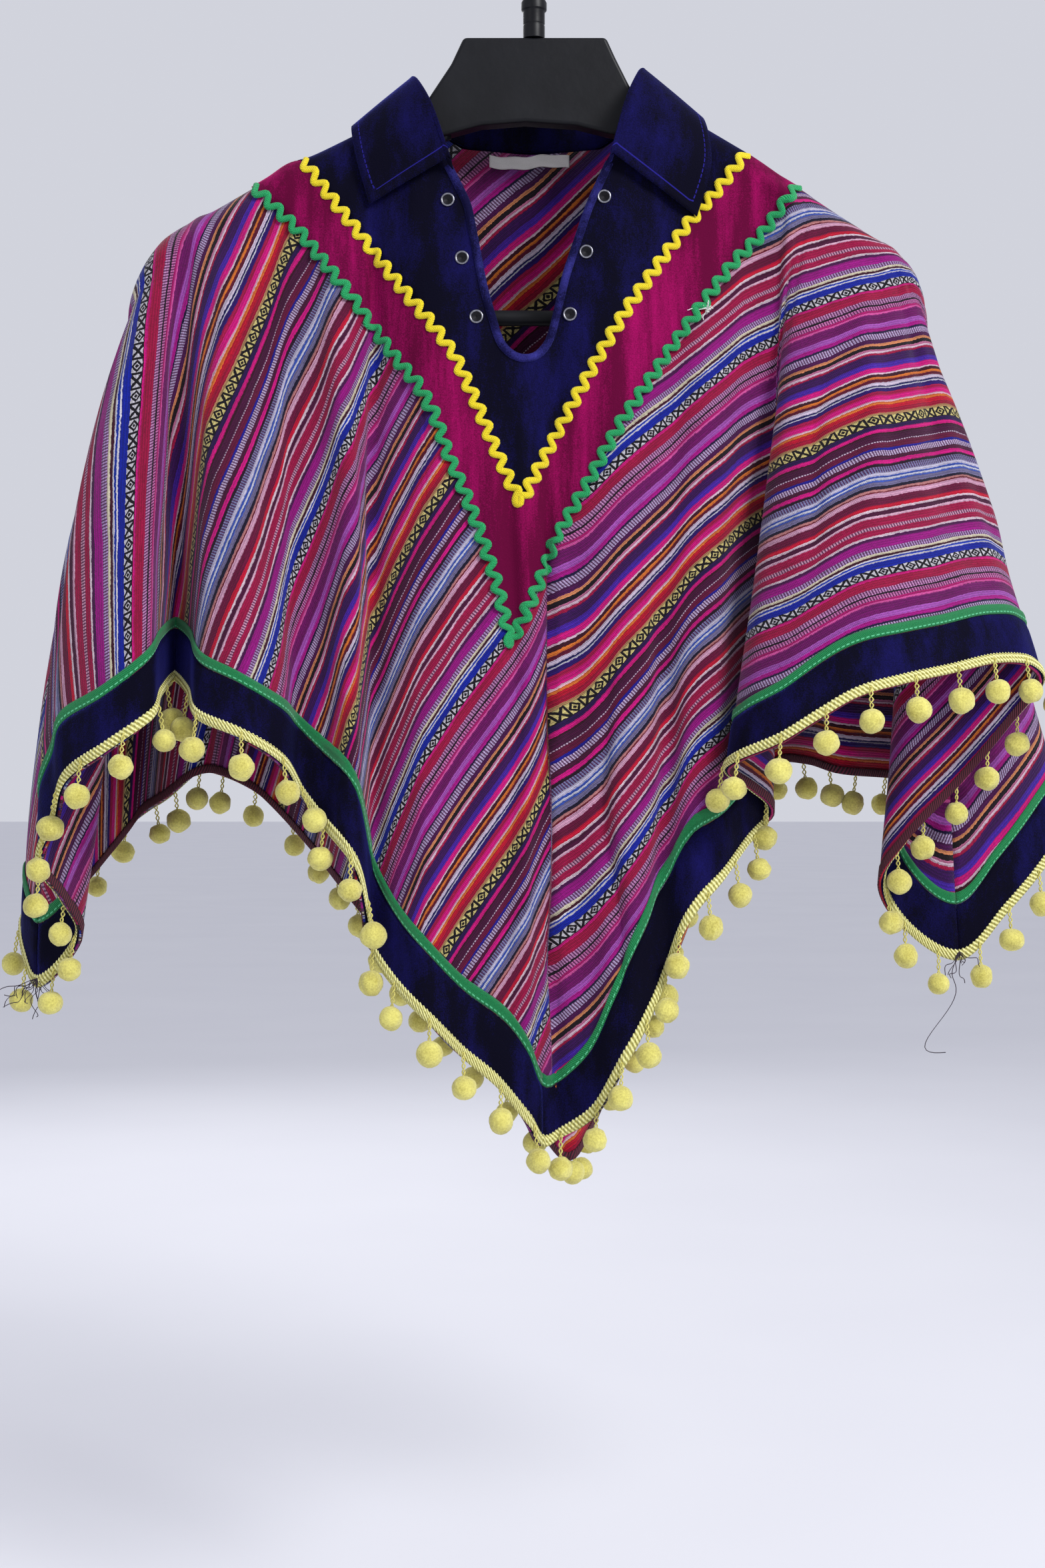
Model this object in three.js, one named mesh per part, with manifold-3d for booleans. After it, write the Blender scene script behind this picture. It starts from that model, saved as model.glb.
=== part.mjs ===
// A short poncho of striped handwoven cloth with a velvet collar, yoke and hem, on its plastic hanger.
// Millimetres, +Z up, the front faces -Y, +X is to the viewer's right.
// The origin is the underside of the hook's top, where the hanger bears on its rail.

import * as THREE from 'three';
import { mergeVertices } from 'three/addons/utils/BufferGeometryUtils.js';
import Module from 'manifold-3d';

const wasm = await Module();
wasm.setup();

// Cloth walls and the layers sewn on them
const GAP = 0.3;
const CLOTH = 1.2;
const VELVET = 1.0;
const TRIM = 1.2;
const ON_CLOTH = GAP;
const ON_VELVET = GAP + VELVET + GAP;
const RICRAC_SEAT = ON_VELVET + 0.8;
const BRAID_SEAT = ON_VELVET + 0.3;

// Widths, measured along the cloth
const HEM_BAND = 27;
const GREEN_TRIM = 6;
const TRIM_TOP = HEM_BAND + GREEN_TRIM;
const BRAID = 5;
const NECK_BINDING = 3.2;
const RICRAC_WIDTH = 4.4;
const RICRAC_SWING = 2.1;
const RICRAC_PERIOD = 9.8;

// How the cloth turns over the hanger: it drops this far while it moves out to its half depth
const ROLL = 17;

// The cloth hangs in ribs, a row for each fold, all round from the left corner by the front to the right
// corner and back by the rear. A rib starts on the shoulder line, moves out to its half depth over the
// hanger and falls to its point of the hem. bow pushes its middle sideways.
const RIB_COLUMNS = ['topX', 'topZ', 'depth', 'hemX', 'hemY', 'hemZ', 'bow'];
const RIBS = [
  [-231, -246, 0, -287, 22, -626, -14],
  [-231, -241, -4, -260, 4, -596, 6],
  [-230, -236, -8, -266, -14, -574, 0],
  [-229, -231, -11, -274, -34, -554, -14],
  [-227, -225, -13, -262, -50, -530, -16],
  [-224, -218, -15, -254, -60, -508, -15],
  [-219, -209, -16, -229, -74, -491, -8],
  [-211, -199, -17, -208, -70, -475, -3],
  [-203, -193, -17, -207, -44, -460, 0],
  [-196, -189, -17, -202, -18, -450, 0],
  [-190, -185, -17, -189, -42, -460, 0],
  [-182, -182, -17, -180, -68, -474, 0],
  [-168, -174, -17, -157, -78, -484, 0],
  [-151, -164, -17, -138, -64, -497, 0],
  [-139, -156, -17, -130, -44, -513, 0],
  [-126, -152, -17, -116, -46, -531, 0],
  [-109, -144, -17, -99, -62, -551, 0],
  [-97, -138, -18, -93, -52, -579, 0],
  [-88, -133, -19, -90, -40, -600, 0],
  [-76, -125, -21, -77, -48, -619, 0],
  [-64, -118, -24, -59, -58, -637, 0],
  [-46, -111, -26, -40, -54, -657, 0],
  [-25, -107, -27, -20, -54, -674, 0],
  [-9, -106, -27, -4, -54, -694, 0],
  [0, -106, -27, 4, -46, -707, 0],
  [9, -106, -27, 13, -40, -704, 0],
  [24, -107, -26, 32, -46, -692, 0],
  [45, -110, -25, 49, -54, -663, 0],
  [62, -114, -23, 61, -50, -641, 0],
  [77, -124, -20, 73, -44, -614, 0],
  [93, -134, -18, 87, -48, -581, 0],
  [110, -144, -17, 103, -38, -562, 0],
  [125, -153, -17, 119, -16, -543, 0],
  [138, -162, -17, 133, -1, -530, 0],
  [143, -165, -17, 134, -10, -522, 0],
  [148, -168, -17, 122, -24, -512, 0],
  [152, -170, -17, 106, -46, -502, 0],
  [155, -172, -17, 110, -66, -496, 0],
  [162, -177, -17, 132, -82, -486, 0],
  [171, -183, -17, 151, -86, -474, 0],
  [182, -190, -17, 172, -86, -462, 0],
  [193, -197, -17, 196, -80, -455, 0],
  [203, -202, -16, 223, -68, -449, 0],
  [209, -208, -15, 254, -50, -442, 0],
  [213, -212, -14, 276, -32, -443, 0],
  [217, -218, -13, 286, -14, -452, 0],
  [219, -223, -12, 271, -2, -475, 0],
  [221, -228, -10, 244, 4, -508, 0],
  [222, -233, -8, 214, 8, -541, 0],
  [223, -237, -6, 201, 20, -566, 0],
  [224, -242, -3, 216, 34, -592, 0],
  [224, -246, 0, 249, 34, -611, 0],
  [224, -241, 4, 277, 36, -584, 0],
  [222, -235, 8, 304, 44, -553, 0],
  [220, -227, 11, 320, 60, -528, 0],
  [216, -218, 14, 312, 84, -513, 0],
  [210, -209, 16, 285, 106, -509, 0],
  [199, -200, 17, 246, 100, -506, 0],
  [186, -192, 17, 209, 72, -504, 0],
  [172, -184, 17, 183, 54, -502, 0],
  [159, -175, 17, 167, 76, -496, 0],
  [144, -165, 17, 149, 108, -497, 0],
  [125, -153, 18, 123, 100, -524, 0],
  [106, -142, 20, 100, 62, -563, 0],
  [87, -130, 24, 81, 54, -605, 0],
  [66, -117, 29, 61, 86, -660, 0],
  [45, -110, 34, 43, 92, -701, 0],
  [22, -107, 36, 31, 68, -722, 0],
  [0, -106, 37, 21, 58, -733, 0],
  [-21, -107, 36, 5, 74, -719, 0],
  [-42, -109, 34, -20, 96, -694, 0],
  [-64, -118, 29, -49, 90, -658, 0],
  [-86, -132, 24, -76, 58, -619, 0],
  [-107, -143, 20, -103, 52, -583, 0],
  [-126, -152, 18, -134, 84, -548, 0],
  [-145, -161, 17, -165, 106, -518, 0],
  [-162, -171, 17, -185, 88, -505, 0],
  [-179, -180, 17, -200, 62, -502, 0],
  [-196, -189, 17, -220, 72, -516, 0],
  [-211, -199, 17, -243, 102, -529, 0],
  [-219, -209, 16, -260, 98, -550, -4],
  [-224, -218, 14, -280, 84, -575, -8],
  [-228, -227, 11, -295, 66, -584, -12],
  [-230, -234, 8, -302, 50, -591, -14],
  [-231, -241, 4, -297, 34, -610, -14],
].map((row) => Object.fromEntries(RIB_COLUMNS.map((name, i) => [name, row[i]])));

// The ribs at the corners and the tips, where the four stretches of hem begin and end
const LEFT_CORNER = 0;
const FRONT_TIP = 24;
const RIGHT_CORNER = 51;
const BACK_TIP = 68;
const RIB_COUNT = RIBS.length;

// Lines on the cloth as seen from the front, from left to right, as [x, z]
const FRONT_NECK = [
  [-66, -119], [-60, -136], [-46, -163], [-35, -185], [-26, -233], [-17, -264], [-9, -271],
  [0, -270], [7, -261], [16, -224], [29, -185], [40, -161], [54, -136], [65, -113],
];
const BACK_NECK = [
  [-66, -119], [-58, -128], [-42, -136], [0, -139], [40, -136], [56, -126], [65, -113],
];
const FRONT_YOKE = [[-132, -155], [-8, -353], [121, -151]];
const FRONT_BAND = [[-160, -170], [-13, -431], [150, -169]];
const BACK_YOKE = [[-132, -155], [-4, -345], [121, -151]];
const BACK_BAND = [[-160, -170], [-4, -422], [150, -169]];

const EYELETS = [
  [-48, -183], [-40, -216], [-32, -249], [39, -181], [29, -212], [20, -247],
];
const EYELET_RADIUS = 3.9;
const EYELET_HOLE = 2.3;
const EYELET_SEAT = 0.6;
const LABEL_THICKNESS = 0.5;
const LABEL_OUTLINE = [[-27, -147], [22, -147], [22, -139.5], [-27, -139.5]];

// The collar from its left front end round the back of the neck to its right front end, a row for each
// section: the neck seam, the fold at the top of the stand, and the edge of the leaf that falls outside
const COLLAR_COLUMNS = ['seamX', 'seamY', 'seamZ', 'foldX', 'foldY', 'foldZ', 'edgeX', 'edgeY', 'edgeZ'];
const COLLAR = [
  [-46, -33, -160, -49, -36, -155, -92, -25, -183],
  [-55, -31, -141, -59, -34, -130, -99, -23, -160],
  [-63, -22, -125, -67, -20, -113, -103, -13, -138],
  [-66, 0, -114, -69, 2, -108, -101, 8, -134],
  [-59, 24, -123, -61, 26, -110, -87, 32, -146],
  [-39, 38, -134, -39, 40, -114, -50, 46, -164],
  [0, 41, -136, 0, 44, -116, 0, 50, -170],
  [38, 38, -134, 38, 40, -113, 48, 46, -163],
  [54, 24, -121, 55, 26, -107, 80, 33, -139],
  [60, 0, -109, 62, 2, -103, 93, 8, -126],
  [57, -22, -122, 60, -21, -109, 97, -17, -138],
  [49, -31, -139, 53, -34, -127, 99, -25, -162],
  [41, -33, -158, 45, -36, -153, 91, -25, -190],
].map((row) => Object.fromEntries(COLLAR_COLUMNS.map((name, i) => [name, row[i]])));
const COLLAR_WALL = 1.8;
const COLLAR_FOLD = 1.8;
const COLLAR_SECTIONS = 18;

// Pompoms on doubled threads along the braid
const POMPOM_RADIUS = 7;
const POMPOM_SPACING = 27;
const POMPOM_SIDES = 3;
const THREAD_RADIUS = 0.8;
const THREAD_SEAT = 0.84;
const THREAD_LENGTH = 12;

// The hanger: a flat head with an arched underside, two arms that thicken outward, a bar and a hook
const HEAD_HALF_THICKNESS = 6;
const HEAD_OUTLINE = [
  [-40, -84], [41, -84], [46, -95], [54, -111], [62, -124], [62, -142], [44, -139], [24, -134],
  [-5, -132], [-30, -134], [-52, -140], [-66, -146], [-66, -128], [-59, -117], [-47, -99],
];
const ARM_COLUMNS = ['x', 'halfHeight', 'halfThickness'];
const ARM_SECTIONS = [
  [46, 13, 5], [64, 13, 5.5], [78, 13, 6], [93, 12.5, 6.5], [110, 12, 7], [130, 11.5, 7], [150, 11, 7],
  [170, 10, 7], [190, 10, 7], [203, 9, 6], [208, 5, 4],
].map((row) => Object.fromEntries(ARM_COLUMNS.map((name, i) => [name, row[i]])));
const LEFT_ARM_STRETCH = 1.025;
const ARM_SIDES = 8;
const ARM_BELOW_CLOTH = 3.3;
const POST_X = 188;
const POST_RADIUS = 4.2;
const POST_SIDES = 8;
const POST_IN_ARM = 8;
const BAR_Z = -242.5;
const BAR_HALF_HEIGHT = 4.5;
const BAR_HALF_DEPTH = 3.6;
const STEM_PROFILE = [
  [0, -83.7], [6.2, -83.7], [6.2, -67.5], [7.3, -67], [7.3, -62.5], [6.4, -61], [0, -61],
];
const WIRE_RADIUS = 2;
const WIRE_SIDES = 6;
const HOOK_RADIUS = 21;
const HOOK_FOOT = -60.7;

const COLOURS = {
  stripes: 0x9c2a5c,
  navy: 0x14124f,
  magenta: 0x8a0a50,
  green: 0x1f9a5c,
  yellow: 0xf2dd2a,
  pompom: 0xdcd873,
  metal: 0xb8b8bc,
  label: 0xeeeae2,
  plastic: 0x17181d,
  steel: 0xa9abb0,
};

const finish = (color, roughness, metalness = 0) =>
  new THREE.MeshStandardMaterial({ color, roughness, metalness });

const poncho = new THREE.Group();

function addPiece(name, geometry, material) {
  const mesh = new THREE.Mesh(geometry, material);
  mesh.name = name;
  poncho.add(mesh);
  return mesh;
}

// The hem and the shoulder as closed curves through the ribs
const hemCurve = new THREE.CatmullRomCurve3(
  RIBS.map((rib) => new THREE.Vector3(rib.hemX, rib.hemY, rib.hemZ)),
  true,
  'centripetal',
);

const wrap = (rib) => ((rib % RIB_COUNT) + RIB_COUNT) % RIB_COUNT;
const hemPoint = (rib) => hemCurve.getPoint(wrap(rib) / RIB_COUNT);

function between(rib, name) {
  const at = wrap(rib);
  const low = Math.floor(at);
  const next = RIBS[(low + 1) % RIB_COUNT][name];
  return THREE.MathUtils.lerp(RIBS[low][name], next, at - low);
}

// A point of the cloth. From -1 to 0 drop turns over the hanger, and from 0 to 1 it falls to the hem.
function clothPoint(rib, drop) {
  const topX = between(rib, 'topX');
  const topZ = between(rib, 'topZ');
  const depth = between(rib, 'depth');
  if (drop < 0) {
    const turn = ((drop + 1) * Math.PI) / 2;
    return new THREE.Vector3(topX, depth * Math.sin(turn), topZ - ROLL * (1 - Math.cos(turn)));
  }
  const point = new THREE.Vector3(topX, depth, topZ - ROLL);
  point.lerp(hemPoint(rib), drop);
  point.x += between(rib, 'bow') * 4 * drop * (1 - drop);
  return point;
}

function acrossAt(rib, drop) {
  const step = 0.12;
  return clothPoint(rib + step, drop).sub(clothPoint(rib - step, drop));
}

function downAt(rib, drop) {
  const step = 0.012;
  const low = Math.max(-1, drop - step);
  const high = Math.min(1, drop + step);
  return clothPoint(rib, high).sub(clothPoint(rib, low));
}

// The direction that the right side of the cloth faces
function outward(rib, drop) {
  return downAt(rib, drop).cross(acrossAt(rib, drop)).normalize();
}

function raised(rib, drop, height) {
  return clothPoint(rib, drop).addScaledVector(outward(rib, drop), height);
}

// How far up a rib, as a share of its fall, a strip of this width reaches above the hem
function hemShare(rib, width) {
  const down = downAt(rib, 0.99).normalize();
  const across = acrossAt(rib, 1).normalize();
  const slant = Math.max(0.45, down.clone().cross(across).length());
  const fall = clothPoint(rib, 1).distanceTo(clothPoint(rib, 0));
  return width / slant / fall;
}

function heightOfLine(line, x) {
  const last = line.length - 1;
  if (x <= line[0][0]) return line[0][1];
  if (x >= line[last][0]) return line[last][1];
  const i = line.findIndex(([lineX]) => lineX > x) - 1;
  const share = (x - line[i][0]) / (line[i + 1][0] - line[i][0]);
  return THREE.MathUtils.lerp(line[i][1], line[i + 1][1], share);
}

// The place on a rib at a height
function crossing(rib, z) {
  let low = -1;
  let high = 1;
  for (let i = 0; i < 26; i += 1) {
    const middle = (low + high) / 2;
    if (clothPoint(rib, middle).z > z) low = middle;
    else high = middle;
  }
  return low;
}

// The rib of the front through a place seen at x and z, among some ribs
function ribThrough(x, z, [from, to]) {
  let low = from;
  let high = to;
  for (let i = 0; i < 26; i += 1) {
    const middle = (low + high) / 2;
    if (clothPoint(middle, crossing(middle, z)).x < x) low = middle;
    else high = middle;
  }
  return low;
}

// A point over the front at x and z, short of the shoulder seam
function onFrontAt(x, z, ribs, height) {
  const rib = ribThrough(x, z, ribs);
  const point = raised(rib, crossing(rib, z), height);
  return point.setY(Math.min(point.y, -GAP / 2));
}

// The rows of the cloth down a rib: over the hanger, down the fall and along the hem's strips
const TURN_ROWS = 2;
const FALL_ROWS = 3;
const aboveHem = (...widths) => (rib) => widths.map((width) => 1 - hemShare(rib, width));
function clothRows(rib) {
  const hemRows = aboveHem(TRIM_TOP, HEM_BAND, 0)(rib);
  const drops = [];
  for (let i = 0; i < TURN_ROWS; i += 1) drops.push(i / TURN_ROWS - 1);
  for (let i = 0; i < FALL_ROWS; i += 1) drops.push((hemRows[0] * i) / FALL_ROWS);
  return [...drops, ...hemRows];
}
const sewnRows = (rib) => clothRows(rib).slice(0, -2);

// A closed wall from a grid of outer and inner points
function wallGeometry(outer, inner) {
  const rows = outer[0].length;
  const columns = outer.length;
  const positions = [];
  for (const side of [outer, inner]) {
    for (const column of side) {
      for (const point of column) positions.push(point.x, point.y, point.z);
    }
  }
  const at = (side, column, row) => side * rows * columns + column * rows + row;
  const index = [];
  const quad = (a, b, c, d) => index.push(a, b, c, a, c, d);
  for (let c = 0; c + 1 < columns; c += 1) {
    for (let r = 0; r + 1 < rows; r += 1) {
      quad(at(0, c, r), at(0, c, r + 1), at(0, c + 1, r + 1), at(0, c + 1, r));
      quad(at(1, c, r), at(1, c + 1, r), at(1, c + 1, r + 1), at(1, c, r + 1));
    }
    quad(at(0, c, 0), at(0, c + 1, 0), at(1, c + 1, 0), at(1, c, 0));
    quad(at(0, c, rows - 1), at(1, c, rows - 1), at(1, c + 1, rows - 1), at(0, c + 1, rows - 1));
  }
  const end = columns - 1;
  for (let r = 0; r + 1 < rows; r += 1) {
    quad(at(0, 0, r), at(1, 0, r), at(1, 0, r + 1), at(0, 0, r + 1));
    quad(at(0, end, r), at(0, end, r + 1), at(1, end, r + 1), at(1, end, r));
  }
  const geometry = new THREE.BufferGeometry();
  geometry.setAttribute('position', new THREE.Float32BufferAttribute(positions, 3));
  geometry.setIndex(index);
  return geometry;
}

// Every rib between two, with one more in each stretch of hem longer than this
const LONGEST_STRETCH = 32;
function ribsBetween(from, to) {
  const ribs = [];
  for (let rib = from; rib < to; rib += 1) {
    ribs.push(rib);
    const length = hemPoint(rib).distanceTo(hemPoint(rib + 1));
    if (length > LONGEST_STRETCH) ribs.push(rib + 0.5);
  }
  ribs.push(to);
  return ribs;
}

// Draws the first and last columns of a grid in by half a gap, so that two walls meet at a seam
function drawInEnds(columns) {
  const last = columns.length - 1;
  for (const [end, next] of [[0, 1], [last, last - 1]]) {
    columns[end].forEach((point, row) => {
      const inward = columns[next][row].clone().sub(point);
      point.addScaledVector(inward.normalize(), GAP / 2);
    });
  }
}

// Keeps the first row of a grid half a gap to one side of the shoulder seam
function keepOffSeam(columns, side) {
  for (const [point] of columns) {
    if (side * point.y < GAP / 2) point.y = (side * GAP) / 2;
  }
}

// A wall on the cloth, this high over it, through some ribs and rows. side is given at the shoulder.
function clothSheet({ ribs, rows, height, thickness, side }) {
  const grids = [height + thickness, height].map((level) =>
    ribs.map((rib) => rows(rib).map((drop) => raised(rib, drop, level))));
  grids.forEach(drawInEnds);
  if (side) grids.forEach((grid) => keepOffSeam(grid, side));
  return wallGeometry(...grids);
}

// Joining and cutting
function toSolid(geometry) {
  const bare = geometry.clone();
  bare.deleteAttribute('normal');
  bare.deleteAttribute('uv');
  const merged = mergeVertices(bare, 1e-4);
  return new wasm.Manifold(new wasm.Mesh({
    numProp: 3,
    vertProperties: merged.attributes.position.array,
    triVerts: Uint32Array.from(merged.index.array),
  }));
}

function toGeometry(solid) {
  const mesh = solid.getMesh();
  const geometry = new THREE.BufferGeometry();
  geometry.setAttribute('position', new THREE.BufferAttribute(mesh.vertProperties, 3));
  geometry.setIndex(new THREE.BufferAttribute(mesh.triVerts, 1));
  return geometry;
}

// A block through the cloth with an outline of [x, z] points, on the front or the back of the shoulder
const THROUGH = 130;
function cutter(outline, side) {
  const shape = new THREE.Shape(outline.map(([x, z]) => new THREE.Vector2(x, z)));
  const block = new THREE.ExtrudeGeometry(shape, { depth: THROUGH, bevelEnabled: false });
  block.rotateX(Math.PI / 2);
  block.translate(0, side > 0 ? THROUGH : 0, 0);
  return toSolid(block);
}

// The outline of all that is above a line, to over the shoulders
const OVER_SHOULDERS = -60;
const aboveLine = (line) => [
  ...line,
  [line.at(-1)[0], OVER_SHOULDERS],
  [line[0][0], OVER_SHOULDERS],
];

const SIDES = {
  front: {
    side: -1,
    from: LEFT_CORNER,
    to: RIGHT_CORNER,
    neck: FRONT_NECK,
    yoke: FRONT_YOKE,
    band: FRONT_BAND,
  },
  back: {
    side: 1,
    from: RIGHT_CORNER,
    to: RIB_COUNT,
    neck: BACK_NECK,
    yoke: BACK_YOKE,
    band: BACK_BAND,
  },
};

// The striped panels, front and back, cut in a point at the hem and open at the neck
for (const [name, { side, from, to, neck }] of Object.entries(SIDES)) {
  const sheet = clothSheet({
    ribs: ribsBetween(from, to),
    rows: clothRows,
    height: -CLOTH,
    thickness: CLOTH,
    side,
  });
  const panel = toSolid(sheet).subtract(cutter(aboveLine(neck), side));
  addPiece(`${name}_panel`, toGeometry(panel), finish(COLOURS.stripes, 0.9));
}

// What lies on a panel: a sheet over the same facets, kept inside one outline and outside others
function onCloth({ side, ribs, height, thickness, inside, outside = [] }) {
  const sheet = clothSheet({ ribs, rows: sewnRows, height, thickness, side });
  let solid = toSolid(sheet).intersect(inside);
  for (const block of outside) solid = solid.subtract(block);
  return toGeometry(solid);
}

const lowered = (line, by) => line.map(([x, z]) => [x, z - by]);

// A strip beside a line, between two distances from it, measured to the left of its direction
function besideLine(line, near, far) {
  const offset = (distance) => line.map(([x, z], i) => {
    const [beforeX, beforeZ] = line[Math.max(0, i - 1)];
    const [afterX, afterZ] = line[Math.min(line.length - 1, i + 1)];
    const length = Math.hypot(afterX - beforeX, afterZ - beforeZ);
    return [x - ((afterZ - beforeZ) / length) * distance, z + ((afterX - beforeX) / length) * distance];
  });
  return [...offset(near), ...offset(far).reverse()];
}

// A ribbon that zigzags down to the point of a line on the front and up again
function ricracGeometry([start, tip, end], ribs) {
  const centre = [];
  for (const [from, to] of [[start, tip], [tip, end]]) {
    const length = Math.hypot(to[0] - from[0], to[1] - from[1]);
    const steps = 2 * Math.round(length / RICRAC_PERIOD);
    const last = to === tip ? steps : steps - 1;
    for (let i = 1; i <= last; i += 1) {
      centre.push([
        THREE.MathUtils.lerp(from[0], to[0], i / steps),
        THREE.MathUtils.lerp(from[1], to[1], i / steps),
      ]);
    }
  }
  const grids = [RICRAC_SEAT + TRIM, RICRAC_SEAT].map((level) => centre.map(([x, z], i) => {
    const before = centre[Math.max(0, i - 1)];
    const after = centre[Math.min(centre.length - 1, i + 1)];
    const length = Math.hypot(after[0] - before[0], after[1] - before[1]);
    const across = [-(after[1] - before[1]) / length, (after[0] - before[0]) / length];
    const sway = i % 2 === 0 ? RICRAC_SWING : -RICRAC_SWING;
    return [RICRAC_WIDTH / 2, -RICRAC_WIDTH / 2].map((edge) => {
      const away = sway + edge;
      return onFrontAt(x + across[0] * away, z + across[1] * away, ribs, level);
    });
  }));
  return wallGeometry(...grids);
}

// The ribs that the pieces on each panel are sewn across
const SEWN_RIBS = { front: ribsBetween(12, 38), back: ribsBetween(59, 77) };
const SLIT_RIBS = [16, 32];

for (const [name, { side, neck, yoke, band }] of Object.entries(SIDES)) {
  const ribs = SEWN_RIBS[name];
  const neckHole = cutter(aboveLine(neck), side);
  const yokeEdge = cutter(aboveLine(lowered(yoke, -GAP)), side);
  const bandTop = cutter(aboveLine(lowered(yoke, GAP)), side);
  const bandEdge = cutter(aboveLine(band), side);
  const velvet = { side, ribs, height: ON_CLOTH, thickness: VELVET };
  addPiece(
    `${name}_yoke`,
    onCloth({ ...velvet, inside: yokeEdge, outside: [neckHole] }),
    finish(COLOURS.navy, 0.8),
  );
  addPiece(
    `${name}_band`,
    onCloth({ ...velvet, inside: bandEdge, outside: [bandTop] }),
    finish(COLOURS.magenta, 0.8),
  );
  for (const [trim, line, colour] of [['yellow', yoke, COLOURS.yellow], ['green', band, COLOURS.green]]) {
    const plain = cutter(besideLine(line, RICRAC_WIDTH / 2, -RICRAC_WIDTH / 2), side);
    const ricrac = name === 'front'
      ? ricracGeometry(line, [ribs[0], ribs.at(-1)])
      : onCloth({ side, ribs, height: ON_VELVET, thickness: TRIM, inside: plain });
    addPiece(`${trim}_ricrac_${name}`, ricrac, finish(colour, 0.85));
  }
}

// The velvet binding down both edges of the neck slit
const slitLine = FRONT_NECK.slice(2, -2);
const slitBlock = cutter(besideLine(slitLine, -GAP, -NECK_BINDING), -1);
addPiece('slit_binding', onCloth({
  side: -1,
  ribs: SEWN_RIBS.front,
  height: ON_VELVET,
  thickness: VELVET,
  inside: slitBlock,
}), finish(COLOURS.navy, 0.8));

// Metal eyelets beside the slit
EYELETS.forEach(([x, z], i) => {
  const rib = ribThrough(x, z, SLIT_RIBS);
  const drop = crossing(rib, z);
  const ring = new THREE.LatheGeometry([
    new THREE.Vector2(EYELET_HOLE, 0),
    new THREE.Vector2(EYELET_RADIUS, 0),
    new THREE.Vector2((EYELET_RADIUS + EYELET_HOLE) / 2, 1),
    new THREE.Vector2(EYELET_HOLE, 0),
  ], 9);
  const facing = outward(rib, drop);
  const turn = new THREE.Quaternion().setFromUnitVectors(new THREE.Vector3(0, 1, 0), facing);
  const seat = clothPoint(rib, drop).addScaledVector(facing, ON_CLOTH + VELVET + EYELET_SEAT);
  ring.applyQuaternion(turn);
  ring.translate(seat.x, seat.y, seat.z);
  addPiece(`eyelet_${i + 1}`, ring, finish(COLOURS.metal, 0.35, 1));
});

// A blank woven label inside the back of the neck
addPiece('label', onCloth({
  side: 1,
  ribs: SEWN_RIBS.back,
  height: -CLOTH - GAP - LABEL_THICKNESS,
  thickness: LABEL_THICKNESS,
  inside: cutter(LABEL_OUTLINE, 1),
}), finish(COLOURS.label, 0.85));

// The collar, a folded strip round the neck: smooth sections through the table's rows
function collarGeometry() {
  const curves = ['seam', 'fold', 'edge'].map((line) => new THREE.CatmullRomCurve3(
    COLLAR.map((row) => new THREE.Vector3(row[`${line}X`], row[`${line}Y`], row[`${line}Z`])),
    false,
    'centripetal',
  ));
  const columns = [];
  const count = COLLAR_SECTIONS;
  for (let i = 0; i <= count; i += 1) {
    const [seam, fold, edge] = curves.map((curve) => curve.getPoint(i / count));
    const out = edge.clone().sub(seam).setZ(0).setLength(COLLAR_FOLD);
    const innerFold = fold.clone().sub(out);
    const outerFold = fold.clone().add(out);
    columns.push([
      seam,
      seam.clone().lerp(innerFold, 0.5),
      innerFold,
      outerFold,
      outerFold.clone().lerp(edge, 0.5),
      edge,
    ]);
  }
  const last = columns.length - 1;
  const outer = columns.map((column, c) => column.map((point, r) => {
    const across = columns[Math.min(last, c + 1)][r].clone().sub(columns[Math.max(0, c - 1)][r]);
    const down = column[Math.min(5, r + 1)].clone().sub(column[Math.max(0, r - 1)]);
    return point.clone().addScaledVector(down.cross(across).normalize(), COLLAR_WALL);
  }));
  return wallGeometry(outer, columns);
}
addPiece('collar', collarGeometry(), finish(COLOURS.navy, 0.8));

// The hem: a velvet band, a green ribbon along its upper edge and a braid with pompoms along its lower one
const STRETCHES = {
  front_left: [LEFT_CORNER, FRONT_TIP],
  front_right: [FRONT_TIP, RIGHT_CORNER],
  back_right: [RIGHT_CORNER, BACK_TIP],
  back_left: [BACK_TIP, RIB_COUNT],
};

// The place of a pompom's thread on the braid, on the straight stretch between the ribs of its sheet
function braidPoint(rib, ribs) {
  const next = ribs.findIndex((other) => other > rib);
  const [a, b] = [ribs[next - 1], ribs[next]];
  const [start, end] = [a, b].map((at) =>
    raised(at, 1 - hemShare(at, BRAID) / 2, BRAID_SEAT + THREAD_SEAT));
  return start.lerp(end, (rib - a) / (b - a));
}

// A thread with a ball at its end, with a few flat sides, this much larger all round
function pompomSolid(root, centre, larger) {
  const down = centre.clone().sub(root);
  const length = down.length();
  const thread = THREAD_RADIUS + larger;
  const ball = POMPOM_RADIUS + larger;
  const profile = [
    [0, 0], [thread, 0], [thread, length - ball * 0.8], [ball, length], [0, length + ball],
  ].map(([radius, distance]) => new THREE.Vector2(radius, distance));
  const shape = new THREE.LatheGeometry(profile, POMPOM_SIDES);
  const turn = new THREE.Quaternion();
  turn.setFromUnitVectors(new THREE.Vector3(0, 1, 0), down.normalize());
  shape.applyQuaternion(turn);
  shape.translate(root.x, root.y, root.z);
  return toSolid(shape);
}

const meets = (solid, others) => others.some((other) => solid.intersect(other).volume() > 0);

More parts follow.
